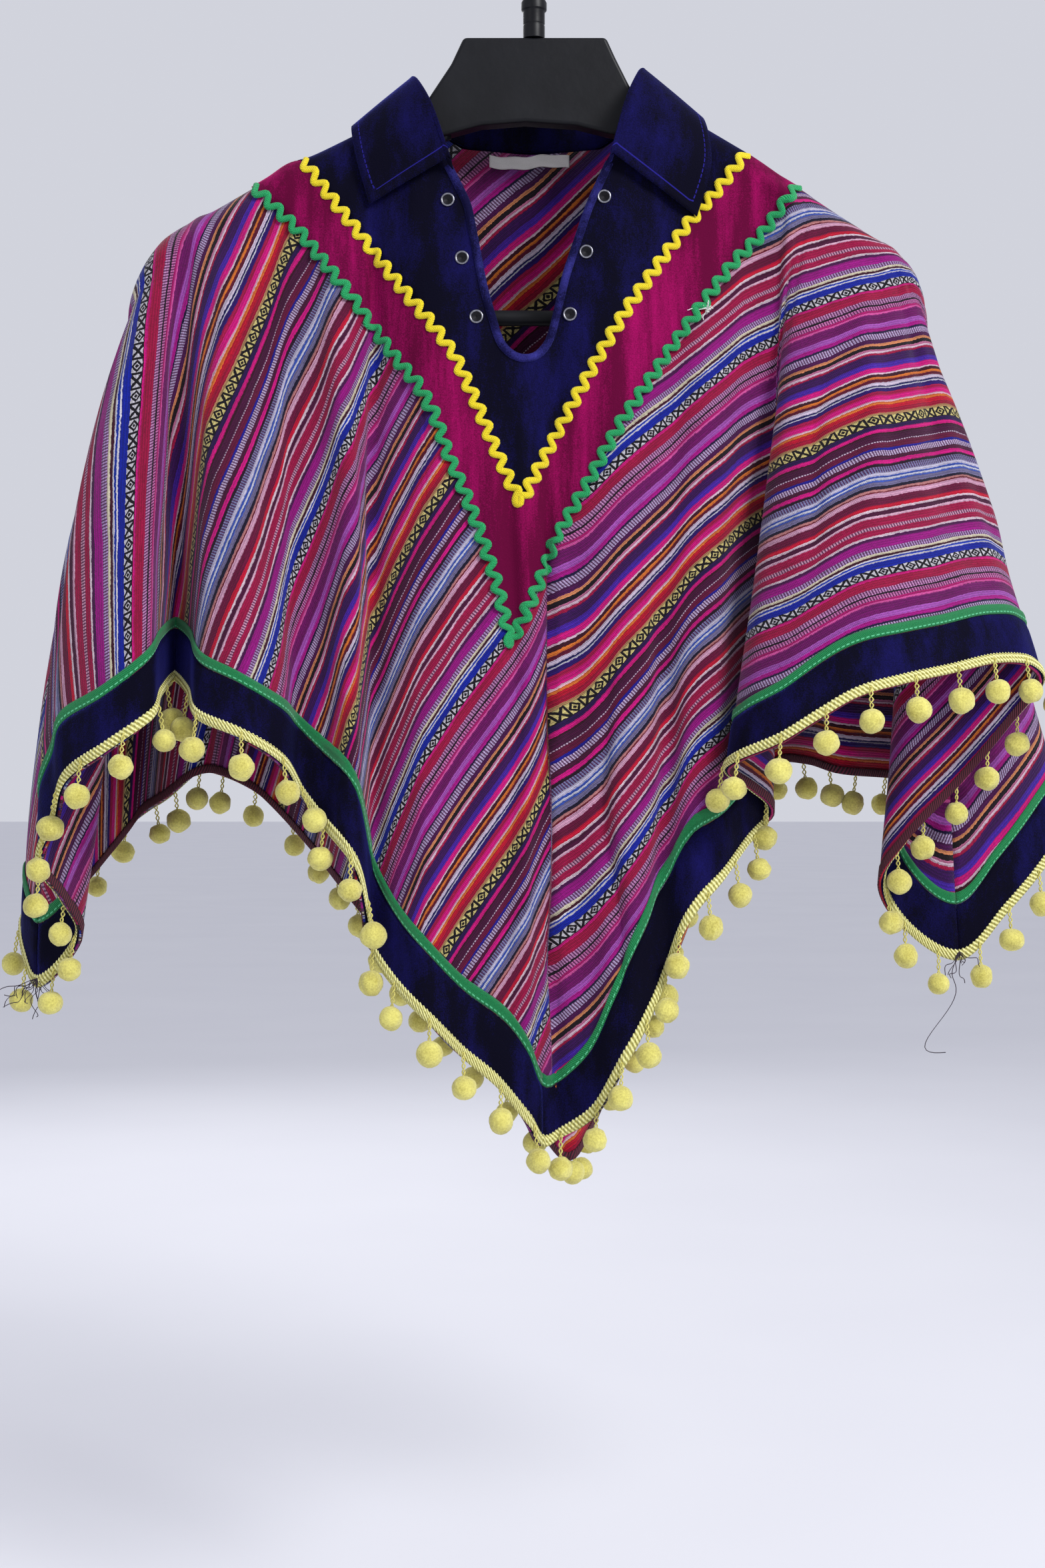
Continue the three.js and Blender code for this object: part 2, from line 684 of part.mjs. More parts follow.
// A pompom hangs straight down from the braid, a little off the cloth. In a tight fold it moves along the
// braid or further out until it has room, and inside the overlap of the front one finds none.
const HANG_SHIFTS = [0, 0.15, -0.15, 0.3, -0.3, 0.45, -0.45, 0.6, -0.6, 0.75, -0.75];
const HANG_PUSHES = [3, 6, 9, 12, 15, 19, 1];
function hangPompom(rib, ribs, others) {
  for (const shift of HANG_SHIFTS) {
    const at = THREE.MathUtils.clamp(rib + shift, ribs[0] + 0.1, ribs.at(-1) - 0.1);
    const root = braidPoint(at, ribs);
    for (const push of HANG_PUSHES) {
      const centre = root.clone().addScaledVector(outward(at, 1), push);
      centre.z -= THREAD_LENGTH + POMPOM_RADIUS;
      if (!meets(pompomSolid(root, centre, GAP), others)) return pompomSolid(root, centre, 0);
    }
  }
  return null;
}

// Places along a stretch of hem, evenly spaced, half a space in from its ends
function spacedRibs(from, to, spacing) {
  const steps = Math.ceil((to - from) * 20);
  const lengths = [0];
  for (let i = 1; i <= steps; i += 1) {
    const rib = from + ((to - from) * i) / steps;
    const before = from + ((to - from) * (i - 1)) / steps;
    lengths.push(lengths[i - 1] + hemPoint(rib).distanceTo(hemPoint(before)));
  }
  const count = Math.round(lengths[steps] / spacing);
  return Array.from({ length: count }, (_, i) => {
    const target = (lengths[steps] * (i + 0.5)) / count;
    return from + ((to - from) * lengths.findIndex((length) => length >= target)) / steps;
  });
}

const aroundPompoms = poncho.children
  .filter(({ name }) => name.endsWith('_panel'))
  .map(({ geometry }) => toSolid(geometry));

for (const [name, [from, to]] of Object.entries(STRETCHES)) {
  const ribs = ribsBetween(from, to);
  const band = clothSheet({ ribs, rows: aboveHem(HEM_BAND, 0), height: ON_CLOTH, thickness: VELVET });
  addPiece(`hem_band_${name}`, band, finish(COLOURS.navy, 0.8));
  const trimRows = aboveHem(TRIM_TOP, HEM_BAND + GAP);
  const trim = clothSheet({ ribs, rows: trimRows, height: ON_CLOTH, thickness: TRIM });
  addPiece(`green_trim_${name}`, trim, finish(COLOURS.green, 0.75));
  aroundPompoms.push(toSolid(band), toSolid(trim));
}

for (const [name, [from, to]] of Object.entries(STRETCHES)) {
  const ribs = ribsBetween(from, to);
  const rows = aboveHem(BRAID, 0);
  let fringe = toSolid(clothSheet({ ribs, rows, height: BRAID_SEAT, thickness: TRIM }));
  for (const rib of spacedRibs(from, to, POMPOM_SPACING)) {
    const pompom = hangPompom(rib, ribs, aroundPompoms);
    if (!pompom) continue;
    aroundPompoms.push(pompom);
    fringe = fringe.add(pompom);
  }
  addPiece(`pompoms_${name}`, toGeometry(fringe), finish(COLOURS.pompom, 0.95));
}

// The hanger
function shoulderHeight(x) {
  const line = RIBS.slice(6, 46).map((rib) => [rib.topX, rib.topZ]);
  return heightOfLine(line, x);
}

// A closed loft through rings of points
function loftGeometry(rings) {
  const sides = rings[0].length;
  const positions = rings.flat().flatMap((point) => point.toArray());
  const index = [];
  for (let r = 0; r + 1 < rings.length; r += 1) {
    for (let i = 0; i < sides; i += 1) {
      const a = r * sides + i;
      const b = r * sides + ((i + 1) % sides);
      index.push(a, b, b + sides, a, b + sides, a + sides);
    }
  }
  const lastRing = (rings.length - 1) * sides;
  for (let i = 1; i + 1 < sides; i += 1) {
    index.push(0, i + 1, i);
    index.push(lastRing, lastRing + i, lastRing + i + 1);
  }
  const geometry = new THREE.BufferGeometry();
  geometry.setAttribute('position', new THREE.Float32BufferAttribute(positions, 3));
  geometry.setIndex(index);
  return geometry;
}

function armGeometry(direction) {
  const stretch = direction < 0 ? LEFT_ARM_STRETCH : 1;
  const rings = ARM_SECTIONS.map(({ x, halfHeight, halfThickness }) => {
    const at = direction * x * stretch;
    const centre = shoulderHeight(at) - ARM_BELOW_CLOTH - halfHeight;
    return Array.from({ length: ARM_SIDES }, (_, i) => {
      const angle = (direction * i * 2 * Math.PI) / ARM_SIDES;
      const y = halfThickness * Math.cos(angle);
      return new THREE.Vector3(at, y, centre + halfHeight * Math.sin(angle));
    });
  });
  return loftGeometry(rings);
}

const headShape = new THREE.Shape(HEAD_OUTLINE.map(([x, z]) => new THREE.Vector2(x, z)));
const head = new THREE.ExtrudeGeometry(headShape, {
  depth: 2 * HEAD_HALF_THICKNESS,
  bevelEnabled: false,
});
head.rotateX(Math.PI / 2);
head.translate(0, HEAD_HALF_THICKNESS, 0);

const posts = [-POST_X, POST_X].map((x) => {
  const top = shoulderHeight(x) - ARM_BELOW_CLOTH - POST_IN_ARM;
  const height = top - (BAR_Z - BAR_HALF_HEIGHT);
  const post = new THREE.CylinderGeometry(POST_RADIUS, POST_RADIUS, height, POST_SIDES);
  post.rotateX(Math.PI / 2);
  post.translate(x, 0, top - height / 2);
  return post;
});

const hangerSolid = [head, armGeometry(-1), armGeometry(1), ...posts]
  .map(toSolid)
  .reduce((joined, solid) => joined.add(solid));
addPiece('hanger', toGeometry(hangerSolid), finish(COLOURS.plastic, 0.35));

const barLength = 2 * (POST_X - POST_RADIUS - GAP);
const bar = new THREE.CylinderGeometry(BAR_HALF_HEIGHT, BAR_HALF_HEIGHT, barLength, 10);
bar.rotateZ(Math.PI / 2);
bar.scale(1, BAR_HALF_DEPTH / BAR_HALF_HEIGHT, 1);
bar.translate(0, 0, BAR_Z);
addPiece('trouser_bar', bar, finish(COLOURS.plastic, 0.35));

const stemPoints = STEM_PROFILE.map(([radius, z]) => new THREE.Vector2(radius, z));
const stem = new THREE.LatheGeometry(stemPoints, 14);
stem.rotateX(Math.PI / 2);
addPiece('hook_stem', stem, finish(COLOURS.plastic, 0.35));

// A wire hook: up from the stem, out to the right, and over to the left
const hookCentre = WIRE_RADIUS - HOOK_RADIUS;
const bend = [0, 30, 60, 90, 120, 150, 180, 205].map((degrees) => {
  const angle = THREE.MathUtils.degToRad(degrees);
  const x = HOOK_RADIUS * Math.cos(angle);
  return new THREE.Vector3(x, 0, hookCentre + HOOK_RADIUS * Math.sin(angle));
});
const hookPath = new THREE.CatmullRomCurve3([
  new THREE.Vector3(0, 0, HOOK_FOOT),
  new THREE.Vector3(0, 0, HOOK_FOOT + 9),
  new THREE.Vector3(12, 0, hookCentre - 20),
  ...bend,
], false, 'centripetal');
const wireShape = new THREE.Shape(Array.from({ length: WIRE_SIDES }, (_, i) => {
  const angle = (i * 2 * Math.PI) / WIRE_SIDES;
  return new THREE.Vector2(WIRE_RADIUS * Math.cos(angle), WIRE_RADIUS * Math.sin(angle));
}));
const hook = new THREE.ExtrudeGeometry(wireShape, { steps: 28, extrudePath: hookPath });
addPiece('hook', hook, finish(COLOURS.steel, 0.3, 1));

export default poncho;
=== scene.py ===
import math

import bmesh
import bpy
import numpy as np
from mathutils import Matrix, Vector


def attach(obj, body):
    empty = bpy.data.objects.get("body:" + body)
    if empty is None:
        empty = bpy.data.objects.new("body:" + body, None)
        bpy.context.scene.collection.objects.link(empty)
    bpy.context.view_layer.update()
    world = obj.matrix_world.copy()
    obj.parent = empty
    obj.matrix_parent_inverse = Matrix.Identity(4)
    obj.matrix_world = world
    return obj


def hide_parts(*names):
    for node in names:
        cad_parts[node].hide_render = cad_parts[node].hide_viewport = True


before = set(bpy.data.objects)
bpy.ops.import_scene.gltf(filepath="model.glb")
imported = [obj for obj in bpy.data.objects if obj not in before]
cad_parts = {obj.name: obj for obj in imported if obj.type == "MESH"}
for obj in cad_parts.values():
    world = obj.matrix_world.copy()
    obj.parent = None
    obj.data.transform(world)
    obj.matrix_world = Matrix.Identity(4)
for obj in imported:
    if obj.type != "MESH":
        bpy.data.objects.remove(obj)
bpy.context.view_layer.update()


# The front panel
# Handwoven cotton with warp stripes, cut square and hung by a corner, so its stripes run along the right
# edge of the hem. It is open at the neck in a deep slit and sewn to the back along the shoulders, and it
# hangs from the hanger in folds that open toward the hem. Sizes are millimetres until a mesh is made.
GAP = 0.3
CLOTH = 1.2
# how far the cloth drops while it turns over the hanger
ROLL = 17.0
# A rib for each fold, all round the poncho from the left corner by the front to the right corner and back
# by the rear: its top's x and z and its half depth there, its hem's x, y and z, and its sideways bow
RIBS = np.array([
    [-231, -246, 0, -287, 22, -626, -14], [-231, -241, -4, -260, 4, -596, 6],
    [-230, -236, -8, -266, -14, -574, 0], [-229, -231, -11, -274, -34, -554, -14],
    [-227, -225, -13, -262, -50, -530, -16], [-224, -218, -15, -254, -60, -508, -15],
    [-219, -209, -16, -229, -74, -491, -8], [-211, -199, -17, -208, -70, -475, -3],
    [-203, -193, -17, -207, -44, -460, 0], [-196, -189, -17, -202, -18, -450, 0],
    [-190, -185, -17, -189, -42, -460, 0], [-182, -182, -17, -180, -68, -474, 0],
    [-168, -174, -17, -157, -78, -484, 0], [-151, -164, -17, -138, -64, -497, 0],
    [-139, -156, -17, -130, -44, -513, 0], [-126, -152, -17, -116, -46, -531, 0],
    [-109, -144, -17, -99, -62, -551, 0], [-97, -138, -18, -93, -52, -579, 0],
    [-88, -133, -19, -90, -40, -600, 0], [-76, -125, -21, -77, -48, -619, 0],
    [-64, -118, -24, -59, -58, -637, 0], [-46, -111, -26, -40, -54, -657, 0],
    [-25, -107, -27, -20, -54, -674, 0], [-9, -106, -27, -4, -54, -694, 0], [0, -106, -27, 4, -46, -707, 0],
    [9, -106, -27, 13, -40, -704, 0], [24, -107, -26, 32, -46, -692, 0], [45, -110, -25, 49, -54, -663, 0],
    [62, -114, -23, 61, -50, -641, 0], [77, -124, -20, 73, -44, -614, 0], [93, -134, -18, 87, -48, -581, 0],
    [110, -144, -17, 103, -38, -562, 0], [125, -153, -17, 119, -16, -543, 0],
    [138, -162, -17, 133, -1, -530, 0], [143, -165, -17, 134, -10, -522, 0],
    [148, -168, -17, 122, -24, -512, 0], [152, -170, -17, 106, -46, -502, 0],
    [155, -172, -17, 110, -66, -496, 0], [162, -177, -17, 132, -82, -486, 0],
    [171, -183, -17, 151, -86, -474, 0], [182, -190, -17, 172, -86, -462, 0],
    [193, -197, -17, 196, -80, -455, 0], [203, -202, -16, 223, -68, -449, 0],
    [209, -208, -15, 254, -50, -442, 0], [213, -212, -14, 276, -32, -443, 0],
    [217, -218, -13, 286, -14, -452, 0], [219, -223, -12, 271, -2, -475, 0],
    [221, -228, -10, 244, 4, -508, 0], [222, -233, -8, 214, 8, -541, 0], [223, -237, -6, 201, 20, -566, 0],
    [224, -242, -3, 216, 34, -592, 0], [224, -246, 0, 249, 34, -611, 0], [224, -241, 4, 277, 36, -584, 0],
    [222, -235, 8, 304, 44, -553, 0], [220, -227, 11, 320, 60, -528, 0], [216, -218, 14, 312, 84, -513, 0],
    [210, -209, 16, 285, 106, -509, 0], [199, -200, 17, 246, 100, -506, 0],
    [186, -192, 17, 209, 72, -504, 0], [172, -184, 17, 183, 54, -502, 0], [159, -175, 17, 167, 76, -496, 0],
    [144, -165, 17, 149, 108, -497, 0], [125, -153, 18, 123, 100, -524, 0],
    [106, -142, 20, 100, 62, -563, 0], [87, -130, 24, 81, 54, -605, 0], [66, -117, 29, 61, 86, -660, 0],
    [45, -110, 34, 43, 92, -701, 0], [22, -107, 36, 31, 68, -722, 0], [0, -106, 37, 21, 58, -733, 0],
    [-21, -107, 36, 5, 74, -719, 0], [-42, -109, 34, -20, 96, -694, 0], [-64, -118, 29, -49, 90, -658, 0],
    [-86, -132, 24, -76, 58, -619, 0], [-107, -143, 20, -103, 52, -583, 0],
    [-126, -152, 18, -134, 84, -548, 0], [-145, -161, 17, -165, 106, -518, 0],
    [-162, -171, 17, -185, 88, -505, 0], [-179, -180, 17, -200, 62, -502, 0],
    [-196, -189, 17, -220, 72, -516, 0], [-211, -199, 17, -243, 102, -529, 0],
    [-219, -209, 16, -260, 98, -550, -4], [-224, -218, 14, -280, 84, -575, -8],
    [-228, -227, 11, -295, 66, -584, -12], [-230, -234, 8, -302, 50, -591, -14],
    [-231, -241, 4, -297, 34, -610, -14],
], dtype=float)
COUNT = len(RIBS)
FRONT_TIP = 24
RIGHT_CORNER = 51
TOP_X, TOP_Z, DEPTH, HEM, BOW = RIBS[:, 0], RIBS[:, 1], RIBS[:, 2], RIBS[:, 3:6], RIBS[:, 6]
HEM_STEP = np.sqrt(np.linalg.norm(np.roll(HEM, -1, axis=0) - HEM, axis=1))
# Creases over the folds: rib and drop where one starts, rib and drop where it ends, its half width in ribs
# and its height, below zero for a valley, before it is deepened
CREASES = np.array([
    [24.55, 0.36, 24.80, 0.985, 0.16, -3.4], [24.95, 0.36, 25.25, 0.985, 0.34, 2.4],
    [26.4, 0.55, 26.9, 0.99, 0.20, -2.4], [28.7, 0.50, 28.9, 0.99, 0.40, -2.4],
    [30.2, 0.20, 30.9, 0.90, 0.55, 1.8], [22.7, 0.30, 22.4, 0.97, 0.35, -2.0],
    [20.8, 0.12, 20.6, 0.80, 0.50, 1.6], [17.7, 0.05, 18.0, 0.70, 0.40, -1.6],
    [15.8, 0.10, 16.4, 0.85, 0.45, 1.9], [13.2, 0.02, 12.7, 0.80, 0.40, -1.8],
    [11.5, 0.02, 11.2, 0.60, 0.30, 1.5], [8.6, 0.04, 8.2, 0.75, 0.30, -1.6],
    [6.2, 0.02, 5.6, 0.55, 0.45, 1.8], [3.4, 0.10, 3.9, 0.80, 0.50, -1.8],
    [38.8, 0.15, 38.2, 0.80, 0.35, -1.8], [40.6, 0.05, 40.2, 0.70, 0.50, 2.0],
    [42.5, 0.02, 43.0, 0.85, 0.45, -1.8], [44.6, 0.20, 45.4, 0.90, 0.50, 1.6],
    [48.5, 0.40, 48.0, 0.95, 0.40, -1.6], [33.9, -0.45, 34.2, 0.55, 1.4, 2.5],
    [56.5, 0.05, 56.0, 0.80, 0.50, -2.0], [59.4, 0.02, 59.0, 0.75, 0.40, 1.8],
    [61.6, 0.20, 62.1, 0.92, 0.45, -2.2], [63.2, 0.02, 62.8, 0.60, 0.35, 1.6],
    [66.4, 0.25, 66.9, 0.97, 0.45, -2.2], [68.6, 0.15, 68.2, 0.90, 0.50, 1.8],
    [70.8, 0.30, 71.4, 0.96, 0.40, -2.0], [73.5, 0.05, 73.0, 0.70, 0.35, 1.7],
    [75.6, 0.10, 76.2, 0.88, 0.50, -2.2], [78.3, 0.02, 78.6, 0.62, 0.40, 1.6],
    [81.2, 0.15, 81.6, 0.90, 0.45, -1.8],
])
DEEPENED = 2.1
RUMPLE = 0.35


def through(values, rib):
    """A smooth closed curve through one column of the table."""
    rib = np.mod(rib, COUNT)
    low = np.floor(rib).astype(int)
    f = rib - low
    p0, p1, p2, p3 = (values[(low + k) % COUNT] for k in (-1, 0, 1, 2))
    return p1 + 0.5 * f * (p2 - p0 + f * (2 * p0 - 5 * p1 + 4 * p2 - p3 + f * (3 * (p1 - p2) + p3 - p0)))


def bend(x0, x1, x2, x3, d0, d1, d2, f):
    """The point at f on a smooth curve from x1 to x2. d are the roots of the distances between the four."""
    t1 = ((x1 - x0) / d0 - (x2 - x0) / (d0 + d1) + (x2 - x1) / d1) * d1
    t2 = ((x2 - x1) / d1 - (x3 - x1) / (d1 + d2) + (x3 - x2) / d2) * d1
    return x1 + t1 * f + (-3 * x1 + 3 * x2 - 2 * t1 - t2) * f**2 + (2 * x1 - 2 * x2 + t1 + t2) * f**3


def hem_point(rib):
    rib = np.mod(rib, COUNT)
    low = np.floor(rib).astype(int)
    places = [HEM[(low + k) % COUNT] for k in (-1, 0, 1, 2)]
    steps = [HEM_STEP[(low + k) % COUNT][..., None] for k in (-1, 0, 1)]
    return bend(*places, *steps, (rib - low)[..., None])


def cloth_point(rib, drop):
    """A point of the cloth: drop -1 to 0 turns over the hanger, 0 to 1 falls to the hem."""
    rib, drop = np.broadcast_arrays(np.asarray(rib, float), np.asarray(drop, float))
    turn = (np.minimum(drop, 0) + 1) * math.pi / 2
    fall = np.maximum(drop, 0)[..., None]
    over = np.stack([through(TOP_X, rib), through(DEPTH, rib) * np.sin(turn),
                     through(TOP_Z, rib) - ROLL * (1 - np.cos(turn))], axis=-1)
    point = over + (hem_point(rib) - over) * fall
    point[..., 0] += through(BOW, rib) * 4 * fall[..., 0] * (1 - fall[..., 0])
    return point


def crease_height(rib, drop):
    total = RUMPLE * np.sin(rib * 5.1 + 3 * np.sin(drop * 4.0)) * np.sin(drop * 9.0 + rib * 0.7)
    for rib0, drop0, rib1, drop1, width, height in CREASES:
        share = np.clip((drop - drop0) / (drop1 - drop0), 0, 1)
        centre = rib0 + (rib1 - rib0) * share + 0.18 * np.sin(share * 9 + rib0)
        away = np.mod(rib - centre + COUNT / 2, COUNT) - COUNT / 2
        total = total + DEEPENED * height * np.sin(math.pi * share) ** 0.7 * np.exp(-((away / width) ** 2))
    # the cloth is taut over the hanger and held a little by its hem
    return total * np.clip((drop + 0.55) * 2.2, 0, 1) * np.clip((1.06 - drop) * 6, 0.25, 1)


def outward(rib, drop):
    across = cloth_point(rib + 0.12, drop) - cloth_point(rib - 0.12, drop)
    down = cloth_point(rib, np.minimum(drop + 0.012, 1)) - cloth_point(rib, np.maximum(drop - 0.012, -1))
    normal = np.cross(down, across)
    length = np.linalg.norm(normal, axis=-1, keepdims=True)
    # at the top of the two corner folds the ridge has no slope of its own and faces straight sideways
    sideways = np.sign(cloth_point(rib, drop)) * [1.0, 0.0, 0.0]
    return np.where(length > 1e-6, normal / np.maximum(length, 1e-6), sideways)


def over_cloth(rib, drop, height):
    """A point this high over the right side of the creased cloth."""
    rib, drop = np.broadcast_arrays(np.asarray(rib, float), np.asarray(drop, float))
    lift = np.asarray(height) + crease_height(rib, drop)
    return cloth_point(rib, drop) + outward(rib, drop) * lift[..., None]


def on_side(points, side):
    """Keeps points on their own side of the shoulder seam, -1 for the front and 1 for the back."""
    points[..., 1] = side * np.maximum(side * points[..., 1], GAP / 2)
    return points


def from_seam(grid, side):
    on_side(grid[:, 0], side)
    return grid


def drop_at(rib, line):
    """Where a rib crosses a line of [x, z] points, or the shoulder seam where the line lies above it."""
    rib = np.asarray(rib, float)
    low, high = np.full(rib.shape, -1.0), np.full(rib.shape, 1.0)
    for _ in range(26):
        middle = (low + high) / 2
        point = cloth_point(rib, middle)
        above = point[..., 2] > np.interp(point[..., 0], line[:, 0], line[:, 1])
        low, high = np.where(above, middle, low), np.where(above, high, middle)
    return low


def run_along(points):
    """The length of a line so far at each of its points."""
    return np.concatenate([[0], np.cumsum(np.linalg.norm(np.diff(points, axis=0), axis=1))])


def along_hem(first, last, spacing):
    """Ribs at even steps of this length along the hem, with the length so far."""
    fine = np.linspace(first, last, int((last - first) * 40) + 1)
    length = run_along(hem_point(fine))
    even = np.linspace(0, length[-1], int(length[-1] / spacing) + 1)
    return np.interp(even, length, fine), even


def shown(name, points, faces, smooth=True):
    """A piece in the scene, from points in millimetres."""
    mesh = bpy.data.meshes.new(name)
    mesh.from_pydata((np.asarray(points) / 1000).tolist(), [], faces)
    mesh.polygons.foreach_set("use_smooth", [smooth] * len(faces))
    piece = bpy.data.objects.new(name, mesh)
    bpy.context.scene.collection.objects.link(piece)
    return piece


def sheet(name, outer, inner, uv):
    """A closed wall from grids of outer and inner points, columns along the ribs, rows down."""
    columns, rows = outer.shape[:2]
    at = np.arange(columns * rows).reshape(columns, rows)
    back = at + columns * rows
    faces = np.concatenate([
        np.stack([at[:-1, :-1], at[:-1, 1:], at[1:, 1:], at[1:, :-1]], -1).reshape(-1, 4),
        np.stack([back[:-1, :-1], back[1:, :-1], back[1:, 1:], back[:-1, 1:]], -1).reshape(-1, 4),
        np.stack([at[:-1, 0], at[1:, 0], back[1:, 0], back[:-1, 0]], -1),
        np.stack([at[:-1, -1], back[:-1, -1], back[1:, -1], at[1:, -1]], -1),
        np.stack([at[0, :-1], back[0, :-1], back[0, 1:], at[0, 1:]], -1),
        np.stack([at[-1, :-1], at[-1, 1:], back[-1, 1:], back[-1, :-1]], -1)])
    piece = shown(name, np.concatenate([outer.reshape(-1, 3), inner.reshape(-1, 3)]), faces.tolist())
    layer = piece.data.uv_layers.new(name="cloth")
    both = np.concatenate([uv.reshape(-1, 2), uv.reshape(-1, 2)])
    layer.data.foreach_set("uv", both[faces.reshape(-1)].reshape(-1).astype(np.float32))
    return piece


class Level:
    """A number that changes over a surface. Sums with it add the shader nodes that work them out."""

    def __init__(self, socket):
        self.socket = socket

    def calc(self, operation, *values):
        tree = self.socket.id_data
        made = tree.nodes.new("ShaderNodeMath")
        made.operation = operation
        for socket, value in zip(made.inputs, values or (self,)):
            if isinstance(value, Level):
                tree.links.new(value.socket, socket)
            else:
                socket.default_value = value
        return Level(made.outputs[0])

    def __add__(self, other):
        return self.calc("ADD", self, other)

    def __sub__(self, other):
        return self.calc("SUBTRACT", self, other)

    def __rsub__(self, other):
        return self.calc("SUBTRACT", other, self)

    def __mul__(self, other):
        return self.calc("MULTIPLY", self, other)

    def __truediv__(self, other):
        return self.calc("DIVIDE", self, other)

    def __lt__(self, other):
        return self.calc("LESS_THAN", self, other)

    def __gt__(self, other):
        return self.calc("GREATER_THAN", self, other)

    def __abs__(self):
        return self.calc("ABSOLUTE")


def node(tree, kind, settings=(), **links):
    """A shader node with its settings and its inputs linked or set, i0 for the first of them."""
    made = tree.nodes.new(kind)
    for key, value in dict(settings).items():
        setattr(made, key, value)
    for key, value in links.items():
        socket = made.inputs[int(key[1:]) if key[0] == "i" and key[1:].isdigit() else key.replace("_", " ")]
        value = getattr(value, "socket", value)
        if isinstance(value, bpy.types.NodeSocket):
            tree.links.new(value, socket)
        else:
            socket.default_value = value
    return made


def linear(red, green, blue):
    """A colour read as 0 to 255 on a screen, as Blender stores it."""
    tones = [(c / 255 / 12.92) if c <= 10 else ((c / 255 + 0.055) / 1.055) ** 2.4 for c in (red, green, blue)]
    return tuple(tones) + (1,)


def surface(name, **sockets):
    """A new material and its node tree, with these values set on the shader's own sockets."""
    made = bpy.data.materials.new(name)
    made.use_nodes = True
    for socket, value in sockets.items():
        made.node_tree.nodes["Principled BSDF"].inputs[socket.replace("_", " ")].default_value = value
    return made, made.node_tree


def feed(tree, socket, value):
    """Joins a node's output to the shader."""
    tree.links.new(getattr(value, "socket", value), tree.nodes["Principled BSDF"].inputs[socket])


def noise(tree, scale, detail=2.0, roughness=0.5, place=None):
    """Soft random patches, over the object's own space if no other is given."""
    if place is None:
        place = node(tree, "ShaderNodeTexCoord").outputs["Object"]
    made = node(tree, "ShaderNodeTexNoise", i0=place, Scale=scale, Detail=detail, Roughness=roughness)
    return Level(made.outputs["Fac"])


def mixed(tree, share, first, second):
    return node(tree, "ShaderNodeMix", {"data_type": "RGBA"}, Factor=share, i6=first, i7=second).outputs[2]


def relief(tree, strength, depth, height):
    bump = node(tree, "ShaderNodeBump", Strength=strength, Distance=depth, Height=height)
    feed(tree, "Normal", bump.outputs[0])


def cloth_place(tree, size):
    """The place on a piece's cloth map, and how many millimetres along and across it that is."""
    place = node(tree, "ShaderNodeUVMap", {"uv_map": "cloth"}).outputs["UV"]
    parts = node(tree, "ShaderNodeSeparateXYZ", i0=place)
    return place, Level(parts.outputs[0]) * size, Level(parts.outputs[1]) * size


sewn_pieces = {"front": [], "back": []}


def fasten(piece, slot, *nodes, of=(), on=None):
    """Gives a piece its materials, says which solids it stands for and which panel it is on. slot is not
    used.
    """
    for material in of:
        piece.data.materials.append(material)
    if nodes:
        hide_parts(*nodes)
    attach(piece, "root")
    if on:
        sewn_pieces[on].append(piece)


